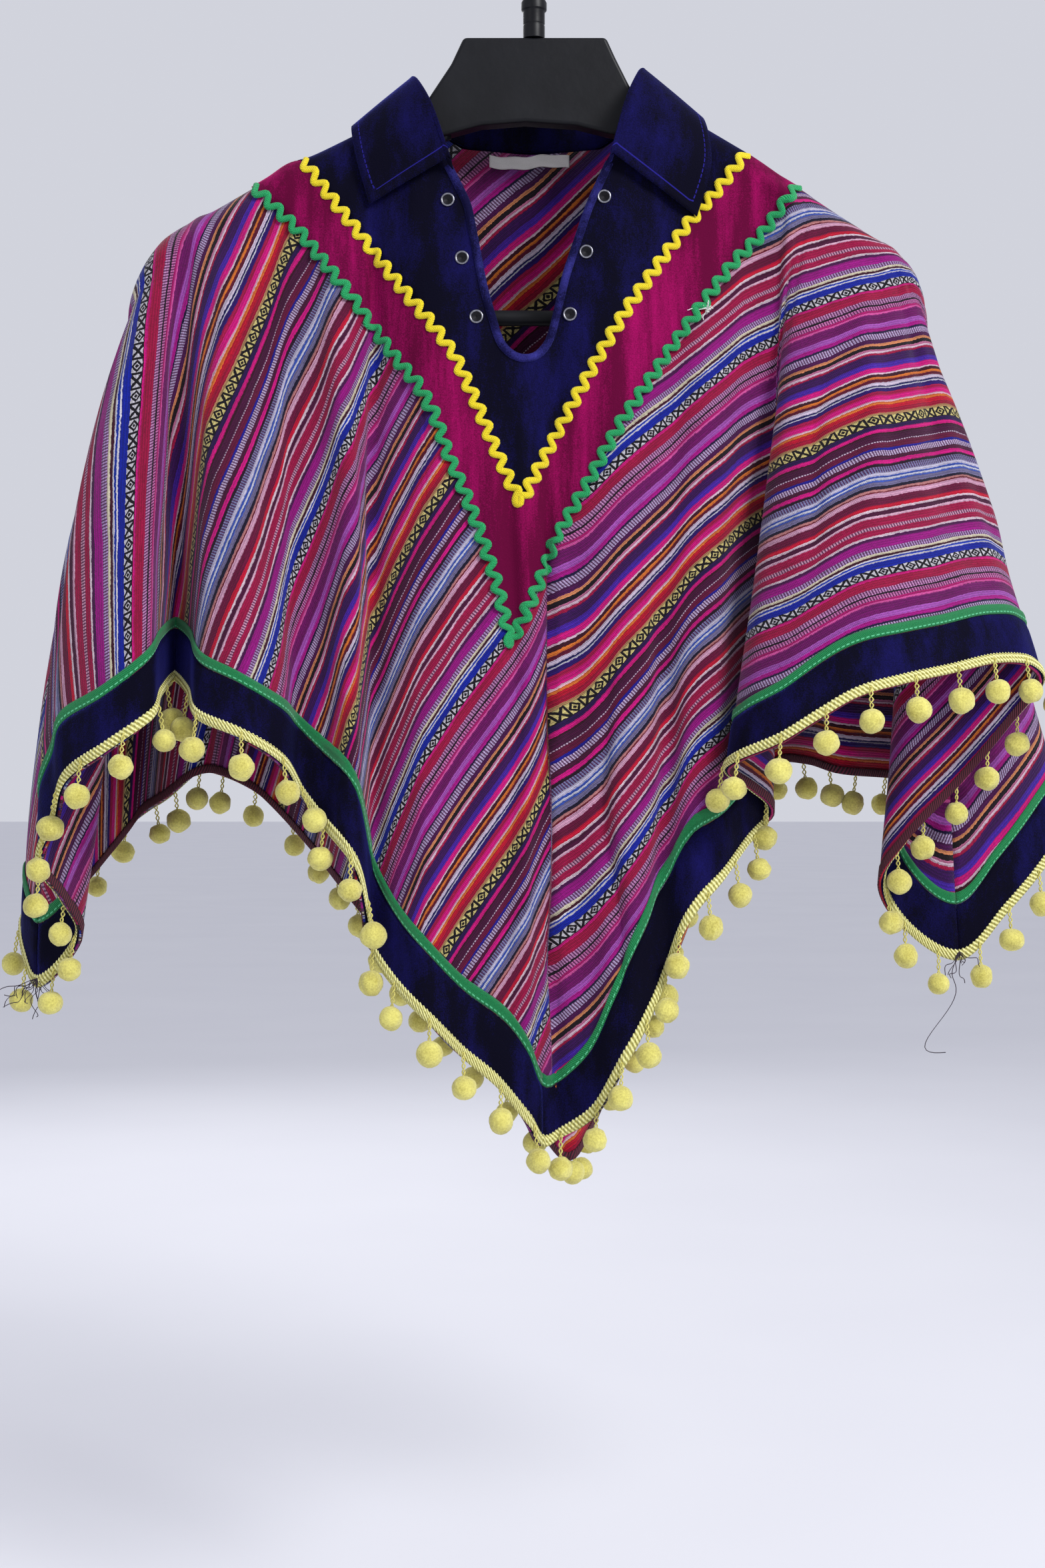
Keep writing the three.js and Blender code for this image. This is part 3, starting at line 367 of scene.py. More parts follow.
# The weave: width in millimetres, colour and kind of each stripe of one repeat, toward the right hem.
# Kind 0 is plain, 1 a ladder of fine cross ticks, 2 the black and white figures, 3 the yellow figures.
STRIPES = [
    (3.1, (52, 62, 178), 0), (4.6, (236, 232, 240), 2), (1.3, (238, 70, 150), 0), (4.5, (184, 14, 76), 0),
    (2.7, (226, 168, 216), 1), (1.0, (26, 8, 28), 0), (2.3, (236, 150, 206), 1), (1.2, (196, 22, 120), 0),
    (1.2, (240, 120, 186), 0), (5.1, (128, 14, 112), 0), (2.7, (192, 112, 204), 0),
    (2.0, (196, 48, 156), 0), (1.0, (24, 14, 62), 0), (3.5, (216, 196, 236), 1), (2.2, (84, 10, 84), 0),
    (1.6, (244, 168, 130), 0), (1.9, (26, 8, 24), 0), (1.0, (222, 140, 176), 0), (1.2, (246, 214, 232), 0),
    (1.2, (188, 18, 78), 0), (4.4, (66, 14, 96), 0), (2.7, (98, 72, 184), 0), (2.7, (240, 66, 152), 0),
    (1.0, (248, 216, 232), 0), (1.5, (66, 6, 34), 0), (1.6, (248, 150, 100), 0), (1.5, (108, 12, 50), 0),
    (2.0, (238, 222, 244), 0), (0.7, (22, 22, 92), 0), (0.7, (240, 236, 246), 0), (2.0, (58, 36, 120), 0),
    (2.0, (190, 18, 84), 0), (2.8, (242, 72, 152), 0), (1.0, (250, 206, 222), 0), (1.5, (248, 146, 100), 0),
    (2.0, (220, 34, 62), 0), (2.5, (184, 12, 60), 0), (1.2, (206, 164, 122), 0), (5.4, (246, 230, 160), 3),
    (2.3, (46, 16, 84), 0), (2.0, (238, 66, 150), 0), (1.0, (62, 6, 36), 0), (3.5, (80, 10, 62), 0),
    (0.8, (228, 208, 228), 1), (3.0, (116, 14, 66), 0), (1.2, (60, 58, 162), 0), (3.0, (226, 206, 240), 1),
    (2.3, (84, 12, 60), 0), (2.0, (240, 84, 160), 0), (1.5, (34, 8, 34), 0), (3.0, (150, 152, 196), 1),
    (2.0, (226, 220, 244), 0), (1.0, (88, 108, 196), 0), (1.0, (228, 228, 244), 0),
    (1.0, (88, 108, 196), 0), (2.3, (134, 128, 166), 0), (1.5, (24, 16, 48), 0), (1.2, (214, 150, 150), 0),
    (0.8, (128, 14, 44), 0), (2.3, (244, 190, 218), 0), (4.0, (122, 12, 66), 0), (2.0, (232, 62, 84), 0),
    (1.2, (248, 224, 236), 0), (2.3, (86, 10, 62), 0), (1.2, (246, 200, 224), 0), (4.3, (184, 16, 80), 0),
    (2.0, (240, 184, 210), 1), (2.7, (184, 16, 80), 0), (1.2, (248, 226, 238), 0), (1.5, (84, 12, 84), 0),
    (4.3, (176, 40, 148), 0), (2.7, (206, 176, 226), 1), (1.2, (244, 234, 206), 0), (1.2, (70, 8, 40), 0),
    (0.8, (240, 236, 246), 0), (0.8, (70, 88, 196), 0), (0.8, (240, 236, 246), 0),
]
REPEAT = 155.0
# the first stripe's edge lies this far in from the hem, and the count starts this many repeats further in
FIRST_EDGE = 79.31
REPEATS_IN = 20
KIND_ALPHA = (1.0, 0.75, 0.5, 0.25)
# a colour ramp has room for about thirty stripes, so the repeat is shared among three
RAMP_ROOM = 26
# kind, stripe and length of one figure
FIGURES = ((2, 1, 8.4), (3, 38, 8.8))
WARP_STEP = 1.21
WEFT_STEP = 0.95
LADDER_STEP = 1.7


def striped_cloth():
    made, tree = surface("striped cloth", Roughness=0.86, Sheen_Weight=0.12, Sheen_Roughness=0.5,
                         Specular_IOR_Level=0.22)
    place, along, across = cloth_place(tree, 100.0)
    slub = node(tree, "ShaderNodeMapping", i0=place, Scale=(4.0, 34.0, 1.0)).outputs[0]
    slub = noise(tree, 1.0, 3.0, place=slub)
    grain = noise(tree, 60.0, place=place)
    across = across + ((slub - 0.5) * 1.3 + (grain - 0.5) * 0.9)
    share = ((FIRST_EDGE + REPEATS_IN * REPEAT - across) / REPEAT).calc("FRACT")
    widths = [width for width, _, _ in STRIPES]
    edges = np.concatenate([[0], np.cumsum(widths)]) / sum(widths)
    colour = kinds = None
    for first in range(0, len(STRIPES), RAMP_ROOM):
        group = range(first, min(first + RAMP_ROOM, len(STRIPES)))
        start, end = float(edges[group[0]]), float(edges[group[-1] + 1])
        ramp = node(tree, "ShaderNodeValToRGB", i0=(share - start) / (end - start))
        ramp.color_ramp.interpolation = "CONSTANT"
        points = ramp.color_ramp.elements
        while len(points) > 1:
            points.remove(points[-1])
        for i in group:
            position = (float(edges[i]) - start) / (end - start)
            point = points[0] if i == first else points.new(position)
            point.position = position
            _, tint, kind = STRIPES[i]
            point.color = linear(*tint)[:3] + (KIND_ALPHA[kind],)
        if colour is None:
            colour, kinds = ramp.outputs["Color"], ramp.outputs["Alpha"]
            continue
        past = share > start
        colour = mixed(tree, past, colour, ramp.outputs["Color"])
        kinds = node(tree, "ShaderNodeMix", {"data_type": "FLOAT"}, Factor=past, i2=kinds,
                     i3=ramp.outputs["Alpha"]).outputs[0]

    def is_kind(kind):
        return share.calc("COMPARE", Level(kinds), KIND_ALPHA[kind], 0.05)

    # Ladders: every other thread of the weft shows dark
    dark = mixed(tree, 0.88, colour, linear(84, 8, 74))
    rung = (along / LADDER_STEP).calc("FRACT") < 0.48
    colour = mixed(tree, is_kind(1) * rung, colour, dark)
    # The figures: a chequered lozenge and a cross by turns, between upright bars
    for kind, stripe, cell in FIGURES:
        centre = float((edges[stripe] + edges[stripe + 1]) / 2)
        half = float((edges[stripe + 1] - edges[stripe]) / 2)
        v = abs((share - centre) / half)
        cells = along / cell
        u = abs(cells.calc("FRACT") * 2 - 1)
        odd = (cells * 0.5).calc("FRACT") > 0.5
        reach = u * 1.25 + v
        lozenge = (reach < 1.06) * (abs(reach - 0.46) > 0.11)
        cross = abs(u * 1.2 - v) < 0.33
        figure = lozenge * (1.0 - odd) + cross * odd
        black = figure + (u > 0.84) + (v > 0.9)
        black = black.calc("MINIMUM", black, 1.0)
        colour = mixed(tree, black * is_kind(kind), colour, linear(16, 8, 22))
    # Threads: paler and darker slubs along each stripe, a dark line between warp ends and a fine cross rib
    warp = (across * (2 * math.pi / WARP_STEP)).calc("SINE")
    weft = (along * (2 * math.pi / WEFT_STEP)).calc("SINE")
    shade = (slub * 0.5 + 0.33) * (grain * 0.7 + 0.65)
    value = shade * ((weft * 0.10 + 0.92) * (warp * 0.17 + 0.86))
    toned = node(tree, "ShaderNodeHueSaturation", Saturation=1.12, Value=value, Color=colour)
    feed(tree, "Base Color", toned.outputs[0])
    relief(tree, 0.5, 0.0004, warp * 0.5 + weft * 0.3 + grain * 1.6)
    return made


# Where the stripes run: t is the distance from the hem that they lie along, s the distance along them.
# Each panel is cut square, so its other lower edge crosses them. The middle of the neck lies at NECK_S and
# NECK_T, and the corners lie this far along the shoulders from it.
SHOULDER = 640.0
NECK_S, NECK_T, CORNER_S = 466.0, 391.0, 767.0
OVER_ARM = 32.0
TOP_RIBS = np.linspace(0, COUNT, COUNT * 10 + 1)
TOP_LENGTH = run_along(cloth_point(TOP_RIBS, -1.0))
HEM_RIBS = np.linspace(0, COUNT, COUNT * 40 + 1)
HEM_LENGTH = run_along(hem_point(HEM_RIBS))


def weave_place(rib, drop, tip, left_edge, left_t):
    """The cloth's own coordinates (s, t) at a rib and a drop, and the share of the rise above the hem."""
    from_neck = np.abs(np.interp(rib, TOP_RIBS, TOP_LENGTH) - np.interp(tip, TOP_RIBS, TOP_LENGTH)) / SHOULDER
    to_tip = np.interp(tip, HEM_RIBS, HEM_LENGTH)
    from_tip = np.abs(np.interp(rib, HEM_RIBS, HEM_LENGTH) - to_tip)
    to_left = abs(np.interp(left_edge, HEM_RIBS, HEM_LENGTH) - to_tip)
    beyond = (rib > tip) if RIGHT_CORNER > tip else (rib < tip)
    top_t = np.where(beyond, NECK_T * (1 - from_neck), NECK_T + (left_t - NECK_T) * from_neck)
    hem_t = np.where(beyond, 0.0, from_tip / to_left * left_t)
    top_s = np.where(beyond, NECK_S + (CORNER_S - NECK_S) * from_neck, NECK_S * (1 - from_neck))
    hem_s = np.where(beyond, from_tip, 0.0)
    fall = np.linalg.norm(cloth_point(rib, 1.0) - cloth_point(rib, 0.0), axis=-1)
    turn = (np.minimum(drop, 0) + 1) * OVER_ARM
    rise = 1 - (turn + np.maximum(drop, 0) * fall) / (OVER_ARM + fall)
    return hem_s + (top_s - hem_s) * rise, hem_t + (top_t - hem_t) * rise, rise


def panel_grid(first, last, neck, tucks=()):
    """Ribs and drops of a panel's points, with a close pair of ribs at each tuck."""
    ribs, _ = along_hem(first, last, 5.0)
    for tuck in tucks:
        ribs = np.sort(np.concatenate([ribs[np.abs(ribs - tuck) > 0.1], [tuck - 0.02, tuck + 0.02]]))
    share = np.concatenate([np.linspace(-1, -0.02, 9), np.linspace(0, 1, 104)])[None, :]
    start = drop_at(ribs, neck)[:, None]
    drops = np.where(start <= -0.999, share, start + (share + 1) / 2 * (1 - start))
    return np.broadcast_to(ribs[:, None], drops.shape), drops


FRONT_NECK = np.array([
    [-66, -119], [-60, -136], [-46, -163], [-35, -185], [-26, -233], [-17, -264], [-9, -271], [0, -270],
    [7, -261], [16, -224], [29, -185], [40, -161], [54, -136], [65, -113]], dtype=float)
# A long fold under the point of the yoke swallows some cloth, and the cloth sags on the bias beside it, so
# the stripes lie lower than in flat cloth by this many millimetres: rib, at the hem, at the seam
LONG_FOLD = 24.72
SAG = np.array([
    [0, 24, 10], [9, 42, 25], [12.8, 56, 23], [16, 56, 26], [18.7, 48, 35], [20, 38, 42], [22, 36, 40],
    [23.8, 34, 36], [LONG_FOLD, 27, 28], [LONG_FOLD + 0.01, 4, 12], [26, -1, 24], [28, 3, 27], [30, 8, 30],
    [31.5, 12, 20], [36, 12, 17], [42, 14, 14], [45, 10, 9], [51, 4, 5]])
ribs, drops = panel_grid(0, RIGHT_CORNER, FRONT_NECK, [LONG_FOLD])
s, t, rise = weave_place(ribs, drops, FRONT_TIP, 0, 724.0)
at_hem, at_seam = (np.interp(ribs, SAG[:, 0], SAG[:, k]) for k in (1, 2))
t = t + at_hem + (at_seam - at_hem) * rise
outer = from_seam(over_cloth(ribs, drops, 0.0), -1)
inner = from_seam(over_cloth(ribs, drops, -CLOTH), -1)
handwoven = striped_cloth()
front_panel = sheet("front_cloth", outer, inner, np.stack([s, t], -1) / 100)
fasten(front_panel, "striped_cloth", "front_panel", of=[handwoven])

# The back panel
# The same cloth, a little longer, with deeper folds and its stripes along the right edge of its own hem.
# It is sewn to the front along the shoulders and down to the corners at the sides.
BACK_TIP = 68
BACK_NECK = np.array([
    [-66, -119], [-58, -128], [-42, -136], [0, -139], [40, -136], [56, -126], [65, -113]], dtype=float)
ribs, drops = panel_grid(RIGHT_CORNER, COUNT, BACK_NECK)
s, t, _ = weave_place(ribs, drops, BACK_TIP, COUNT, 603.0)
outer = from_seam(over_cloth(ribs, drops, 0.0), 1)
inner = from_seam(over_cloth(ribs, drops, -CLOTH), 1)
back_panel = sheet("back_cloth", outer, inner, np.stack([s, t], -1) / 100)
fasten(back_panel, "striped_cloth", "back_panel", of=[handwoven])


# The yokes and the chevron bands
# Cotton velvet laid on each panel and sewn along its edges: a navy yoke in a point under the neck, and a
# magenta band in a V below it. The pile catches a blue or pink light where it turns away, and the paler
# crushed patches in its colour are painted sheen.
VELVET = 1.0


def toned(tree, level, dark, pale, low=0.0, high=1.0):
    """Colours a surface from its dark tone to its pale one as a level rises."""
    ramp = node(tree, "ShaderNodeValToRGB", i0=level)
    for point, tint, place in zip(ramp.color_ramp.elements, (dark, pale), (low, high)):
        point.color = linear(*tint)
        point.position = place
    feed(tree, "Base Color", ramp.outputs[0])


def velvet(name, deep, lit, sheen, streak=(1.0, 1.0, 1.0)):
    made, tree = surface(name, Roughness=0.9, Specular_IOR_Level=0.1, Sheen_Weight=0.55, Sheen_Roughness=0.32,
                         Sheen_Tint=linear(*sheen))
    place = node(tree, "ShaderNodeTexCoord").outputs["Object"]
    stroked = node(tree, "ShaderNodeMapping", i0=place, Scale=streak).outputs[0]
    crushed_pile_and_sheen = noise(tree, 38.0, 5.0, 0.62, stroked)
    pile = noise(tree, 1400.0, 1.0)
    # the paler tone where the crushed patches rise is painted sheen; the same patches give the pile its
    # relief
    toned(tree, crushed_pile_and_sheen * 1.7 + pile * 0.5 - 0.62, deep, lit, 0.40, 0.95)
    relief(tree, 0.5, 0.0006, pile + crushed_pile_and_sheen * 2.0)
    return made


# each velvet's second colour is the painted sheen of its paler crushed patches
navy_velvet = velvet("navy velvet", (3, 2, 20), (19, 16, 84), (66, 70, 180), (1.0, 1.0, 0.4))
magenta_velvet = velvet("magenta velvet", (88, 0, 46), (164, 8, 94), (225, 50, 130), (1.6, 1.6, 0.16))

YOKE_LINE = np.array([
    [-132, -155], [-108, -187], [-84, -218], [-57, -253], [-44, -271], [-33, -295], [-22, -322],
    [-8, -353], [3, -331], [22, -296], [34, -274], [52, -243], [71, -215], [87, -193], [101, -177],
    [121, -151]], dtype=float)
BAND_LINE = np.array([
    [-160, -170], [-146, -184], [-130, -200], [-106, -231], [-79, -268], [-64, -287], [-55, -305],
    [-48, -326], [-38, -348], [-29, -372], [-20, -400], [-13, -431], [0, -402], [12, -372], [30, -341],
    [49, -306], [74, -268], [98, -234], [112, -215], [128, -199], [150, -169]], dtype=float)
# the back's lines end a little higher at the point
SHORTER = np.array([1.0, 0.96])
YOKES = {"front": YOKE_LINE, "back": YOKE_LINE[0] + (YOKE_LINE - YOKE_LINE[0]) * SHORTER}
BANDS = {"front": BAND_LINE, "back": BAND_LINE[0] + (BAND_LINE - BAND_LINE[0]) * SHORTER}


def sewn_on(name, first, last, upper, lower, side, rows):
    """Velvet on a panel between two lines across its ribs, thinner along its turned edges."""
    ribs, _ = along_hem(first, last, 3.2)
    start, end = drop_at(ribs, upper), drop_at(ribs, lower)
    long_enough = end - start > 0.004
    ribs, start, end = (values[long_enough, None] for values in (ribs, start, end))
    share = np.linspace(0, 1, rows)[None, :]
    drops = start + (end - start) * share
    grid = np.broadcast_to(ribs, drops.shape)
    edge = np.minimum(1, np.minimum(share, 1 - share) * 14) ** 0.5
    outer = from_seam(over_cloth(grid, drops, GAP + VELVET * (0.35 + 0.65 * edge)), side)
    inner = from_seam(over_cloth(grid, drops, GAP), side)
    return sheet(name, outer, inner, np.stack([grid, drops], -1))


# the ribs that the pieces under the neck lie between, the neck's line and the side of the shoulder seam
SEWN = {"front": (12.0, 38.0, FRONT_NECK, -1), "back": (59.0, 77.0, BACK_NECK, 1)}
for panel, (first, last, neck, side) in SEWN.items():
    yoke = sewn_on(f"{panel}_velvet_yoke", first, last, neck, YOKES[panel] + [0, GAP], side, 56)
    fasten(yoke, "navy_velvet", f"{panel}_yoke", of=[navy_velvet], on=panel)
    band = sewn_on(f"{panel}_velvet_band", first, last, YOKES[panel] - [0, GAP], BANDS[panel], side, 40)
    fasten(band, "magenta_velvet", f"{panel}_band", of=[magenta_velvet], on=panel)


# The ric-rac
# Woven zigzag braid, yellow on the join of yoke and band and green on the band's lower edge, sewn along
# its middle. It goes down to the point of the V and up again.
RICRAC_WAVE = 9.8
RICRAC_SWAY = 2.5
RICRAC_HALF = 1.9
RICRAC_SECTION = [0.15, 0.8, 1, 1, 0.8, 0.15]
ON_VELVET = GAP + VELVET + GAP


def unit(vectors):
    return vectors / np.linalg.norm(vectors, axis=-1, keepdims=True)


def smoothed(line, times):
    for _ in range(times):
        line[1:-1] = (line[:-2] + 2 * line[1:-1] + line[2:]) / 4
    return line


def drop_for(rib, z):
    """Where a rib reaches a height."""
    top, hem = through(TOP_Z, rib), hem_point(rib)[..., 2]
    turn = np.arccos(np.clip(1 - (top - z) / ROLL, 0, 1)) * 2 / math.pi - 1
    fall = (top - ROLL - z) / (top - ROLL - hem)
    return np.where(z > top - ROLL, turn, np.clip(fall, 0, 1))


def rib_at(x, z, first, last, side):
    """The rib through a place seen at x and z on one panel."""
    low, high = np.full(x.shape, float(first)), np.full(x.shape, float(last))
    for _ in range(28):
        middle = (low + high) / 2
        short = side * (x - cloth_point(middle, drop_for(middle, z))[..., 0]) < 0
        low, high = np.where(short, middle, low), np.where(short, high, middle)
    return low


def ribbon_on(name, centre, half_width, low, high, section, panel):
    """A ribbon whose middle follows [x, z] points on a panel. section gives its form from edge to edge."""
    first, last, _, side = SEWN[panel]
    along = unit(np.gradient(centre, axis=0))
    across = np.stack([-along[:, 1], along[:, 0]], -1)
    offsets = np.linspace(1, -1, len(section)) * half_width * -side
    places = centre[:, None, :] + across[:, None, :] * offsets[None, :, None]
    ribs = rib_at(places[..., 0], places[..., 1], first, last, side)
    drops = drop_for(ribs, places[..., 1])
    outer = on_side(over_cloth(ribs, drops, low + (high - low) * np.asarray(section)[None, :]), side)
    inner = on_side(over_cloth(ribs, drops, np.full(drops.shape, low)), side)
    uv = np.stack(np.broadcast_arrays(run_along(centre)[:, None], offsets[None, :]), -1)
    return sheet(name, outer, inner, uv / 10)


def woven_trim(name, deep, lit, ridge, contrast=0.16):
    made, tree = surface(name, Roughness=0.8, Sheen_Weight=0.15, Specular_IOR_Level=0.25)
    place, u, v = cloth_place(tree, 10.0)
    speck = noise(tree, 16.0, 3.0, place=place)
    slant = ((u + abs(v)) * (2 * math.pi / ridge)).calc("SINE")
    toned(tree, speck * 0.9 + slant * contrast, deep, lit, 0.15, 0.75)
    relief(tree, 0.6, 0.0005, slant + speck * 1.5)
    return made


yellow_braid = woven_trim("yellow ric-rac", (214, 180, 4), (255, 240, 38), 1.1)
green_braid = woven_trim("green ric-rac", (8, 116, 62), (34, 184, 108), 1.1)
for panel in SEWN:
    for colour, line, braid in (("yellow", YOKES[panel], yellow_braid), ("green", BANDS[panel], green_braid)):
        run = run_along(line)
        point = run[np.argmin(line[:, 1])]
        waves = np.round(np.array([point, run[-1] - point]) / RICRAC_WAVE)
        place = np.concatenate([np.linspace(3, point, int(waves[0] * 14)),
                                np.linspace(point, run[-1] - 3, int(waves[1] * 14))[1:]])
        middle = np.stack([np.interp(place, run, line[:, k]) for k in (0, 1)], -1)
        # the two arms meet square at the point of the V
        near = np.clip(1 - np.abs(place - point) / 6, 0, 1)[:, None]
        along = unit(np.gradient(middle, axis=0)) * (1 - near) + np.array([1.0, 0.0]) * near
        along = unit(smoothed(along, 6))
        phase = np.interp(place, [0, point, run[-1]], [0, waves[0], waves.sum()])
        sway = RICRAC_SWAY * np.sin(phase * 2 * math.pi)
        centre = middle + np.stack([-along[:, 1], along[:, 0]], -1) * sway[:, None]
        ricrac = ribbon_on(f"{colour}_wave_{panel}", centre, RICRAC_HALF, ON_VELVET, ON_VELVET + 1.3,
                           RICRAC_SECTION, panel)
        fasten(ricrac, f"{colour}_trim", f"{colour}_ricrac_{panel}", of=[braid], on=panel)

# The binding of the neck slit
# The velvet is rolled round the raw edge of the slit and stitched, so a soft padded rim runs down one side,
# round the bottom and up the other. It is coloured paler than the other navy velvet: painted sheen where
# the roll catches the light.
RIM_OUT = 2.0
RIM_HALF = 2.3
RIM_LOW = GAP + VELVET + 0.1
RIM_HEIGHT = 2.0
RIM_SECTION = [0.1, 0.65, 0.92, 1, 0.92, 0.65, 0.1]
slit = FRONT_NECK[2:-2]
length = run_along(slit)
even = np.linspace(0, length[-1], 130)
rim = smoothed(np.stack([np.interp(even, length, slit[:, k]) for k in (0, 1)], -1), 10)
along = unit(np.gradient(rim, axis=0))
rim = rim + np.stack([along[:, 1], -along[:, 0]], -1) * RIM_OUT
binding = ribbon_on("slit_rim", rim, RIM_HALF, RIM_LOW, RIM_LOW + RIM_HEIGHT, RIM_SECTION, "front")
# a paler copy of the navy velvet, its lighter colours painted sheen on the roll
sheen_painted_velvet = velvet("navy velvet with painted sheen", (10, 8, 46), (54, 52, 134), (96, 100, 200))
fasten(binding, "navy_velvet", "slit_binding", of=[sheen_painted_velvet], on="front")

# The eyelets
# Six small rolled rings of pale metal, three on each side of the slit, pressed through the velvet. A dark
# disc across each ring stands in for its open middle: painted shade, as the cloth under it is not cut
# through.
EYELETS = [(-48, -183), (-40, -216), (-32, -249), (39, -181), (29, -212), (20, -247)]
EYELET_RADIUS = 3.35
EYELET_ROLL = 0.55
EYELET_RISE = 0.5
AROUND = 36
ROLL_STEPS = 12


def mottled(name, scale, dark, pale, detail=2.0, **sockets):
    """A material in one tone with random patches, and its tree and patches."""
    made, tree = surface(name, **sockets)
    patches = noise(tree, scale, detail)
    toned(tree, patches, dark, pale)
    return made, tree, patches


def worn(tree, patches, smoothest, roughest):
    """Makes a surface rougher where its patches are paler."""
    rough = node(tree, "ShaderNodeMapRange", i0=patches, i3=smoothest, i4=roughest)
    feed(tree, "Roughness", rough.outputs[0])


metal, tree, scuffs = mottled("eyelet metal", 900.0, (92, 92, 100), (178, 178, 186), 3.0, Metallic=1.0)
worn(tree, scuffs, 0.2, 0.42)
# the dark disc in each ring is painted shade standing in for the opening
hole_shade, _, _ = mottled("eyelet hole", 2000.0, (4, 3, 10), (20, 16, 34))
for number, spot in enumerate(EYELETS, 1):
    x, z = np.array(spot, dtype=float)[:, None]
    rib = rib_at(x, z, 16, 32, -1)
    drop = drop_for(rib, z)
    middle = Vector(over_cloth(rib, drop, GAP + VELVET + EYELET_RISE)[0])
    turn = Vector(outward(rib, drop)[0]).to_track_quat("Z", "Y").to_matrix()
    points, faces = [], []
    for i in range(AROUND):
        a = 2 * math.pi * i / AROUND
        for j in range(ROLL_STEPS):
            b = 2 * math.pi * j / ROLL_STEPS
            out = EYELET_RADIUS + EYELET_ROLL * math.cos(b)
            points.append(middle + turn @ Vector((out * math.cos(a), out * math.sin(a),
                                                  EYELET_RISE * math.sin(b))))
            k, m = (i + 1) % AROUND * ROLL_STEPS, (j + 1) % ROLL_STEPS
            faces.append((i * ROLL_STEPS + j, k + j, k + m, i * ROLL_STEPS + m))
    # the disc across the ring, coloured as painted shade
    faces.append(tuple(i * ROLL_STEPS + ROLL_STEPS // 2 + 1 for i in range(AROUND)))
    eyelet = shown(f"eyelet_ring_{number}", points, faces)
    eyelet.data.polygons[-1].material_index = 1
    fasten(eyelet, "eyelet_metal", f"eyelet_{number}", of=[metal, hole_shade], on="front")

# The collar
# A turned-down collar of the navy velvet in two layers, open at the front in two wings. It stands a little
# at the neck, folds over, and is top-stitched half a centimetre from its edges. The table goes round the
# neck from wing to wing, with x, y and z of the seam, of the crown and of the outer edge.
COLLAR = np.array([
    [-45, -33, -167, -48, -36, -162, -92, -25, -184], [-55, -31, -141, -59, -34, -130, -99, -23, -160],
    [-63, -22, -125, -67, -20, -113, -103, -13, -138], [-66, 0, -114, -69, 2, -108, -101, 8, -134],
    [-59, 24, -123, -61, 26, -110, -87, 32, -146], [-39, 38, -134, -39, 40, -114, -50, 46, -164],
    [0, 41, -136, 0, 44, -116, 0, 50, -170], [38, 38, -134, 38, 40, -113, 48, 46, -163],
    [54, 24, -121, 55, 26, -107, 80, 33, -139], [60, 0, -109, 62, 2, -103, 93, 8, -126],
    [57, -22, -122, 60, -21, -109, 97, -17, -138], [49, -31, -139, 53, -34, -127, 99, -25, -162],
    [40, -33, -165, 44, -36, -160, 91, -25, -191]], dtype=float)
FOLD = 1.8
CROWN_RISE = 1.3
CROWN_ROW = 18
PADDING = 2.1
STITCH_IN = 5.0
GROOVE = 0.75
RIPPLE = 0.35


def open_curve(points, share):
    """A smooth curve through points, at shares from 0 to 1."""
    place = np.clip(share, 0, 1) * (len(points) - 1)
    low = np.minimum(np.floor(place).astype(int), len(points) - 2)
    padded = np.concatenate([[2 * points[0] - points[1]], points, [2 * points[-1] - points[-2]]])
    near = [padded[low + k] for k in range(4)]
    steps = [np.sqrt(np.linalg.norm(b - a, axis=1))[:, None] for a, b in zip(near, near[1:])]
    return bend(*near, *steps, (place - low)[:, None])


def stitch(made, line, half_width, step, share, thread):
    """A row of stitches at this distance across a piece's cloth map, in millimetres."""
    tree = made.node_tree
    base = tree.nodes["Principled BSDF"].inputs["Base Color"].links[0].from_socket
    _, along, across = cloth_place(tree, 10.0)
    sewn = (abs(across - line) < half_width) * ((along / step).calc("FRACT") < share)
    feed(tree, "Base Color", mixed(tree, sewn, base, linear(*thread)))


sections = np.linspace(0, 1, 150)
seam, crown, edge = (open_curve(COLLAR[:, k:k + 3], sections) for k in (0, 3, 6))
away = edge - seam
away[:, 2] = 0
away = unit(away) * FOLD
corners = np.stack([seam, (seam + crown - away) / 2, crown - away * 1.05, crown + [0, 0, CROWN_RISE],
                    crown + away * 1.05, (crown + edge) * 0.5 + away * 0.75, edge], axis=1)
profile = np.stack([open_curve(column, np.linspace(0, 1, 44)) for column in corners])
facing = unit(np.cross(np.gradient(profile, axis=1), np.gradient(profile, axis=0)))
run = np.stack([run_along(line) for line in profile])
span = run_along(edge)[:, None]
margin = np.minimum(run[:, -1:] - run, np.minimum(span, span[-1] - span))
leaf = np.clip((run - run[:, CROWN_ROW, None]) / 4, 0, 1)
puff = np.minimum(1, np.sqrt(np.clip(np.minimum(margin, run + 0.5) / 2.2, 0.02, 1)))
groove = leaf * GROOVE * np.exp(-(((margin - STITCH_IN) / 0.8) ** 2))
ripple = leaf * RIPPLE * np.sin(span / 6.1 + 2 * np.sin(run / 9.0)) * np.clip(margin / 9, 0, 1)
outer = profile + facing * (PADDING * puff - groove + ripple)[..., None]
inner = profile - facing * 0.2
uv = np.stack([np.broadcast_to(span, run.shape), margin], -1) / 10
collar = sheet("velvet_collar", outer, inner, uv)
stitched_velvet = navy_velvet.copy()
stitched_velvet.name = "stitched navy velvet"
stitch(stitched_velvet, STITCH_IN, 0.35, 3.0, 0.7, (34, 30, 120))
fasten(collar, "navy_velvet", "collar", of=[stitched_velvet], on="back")

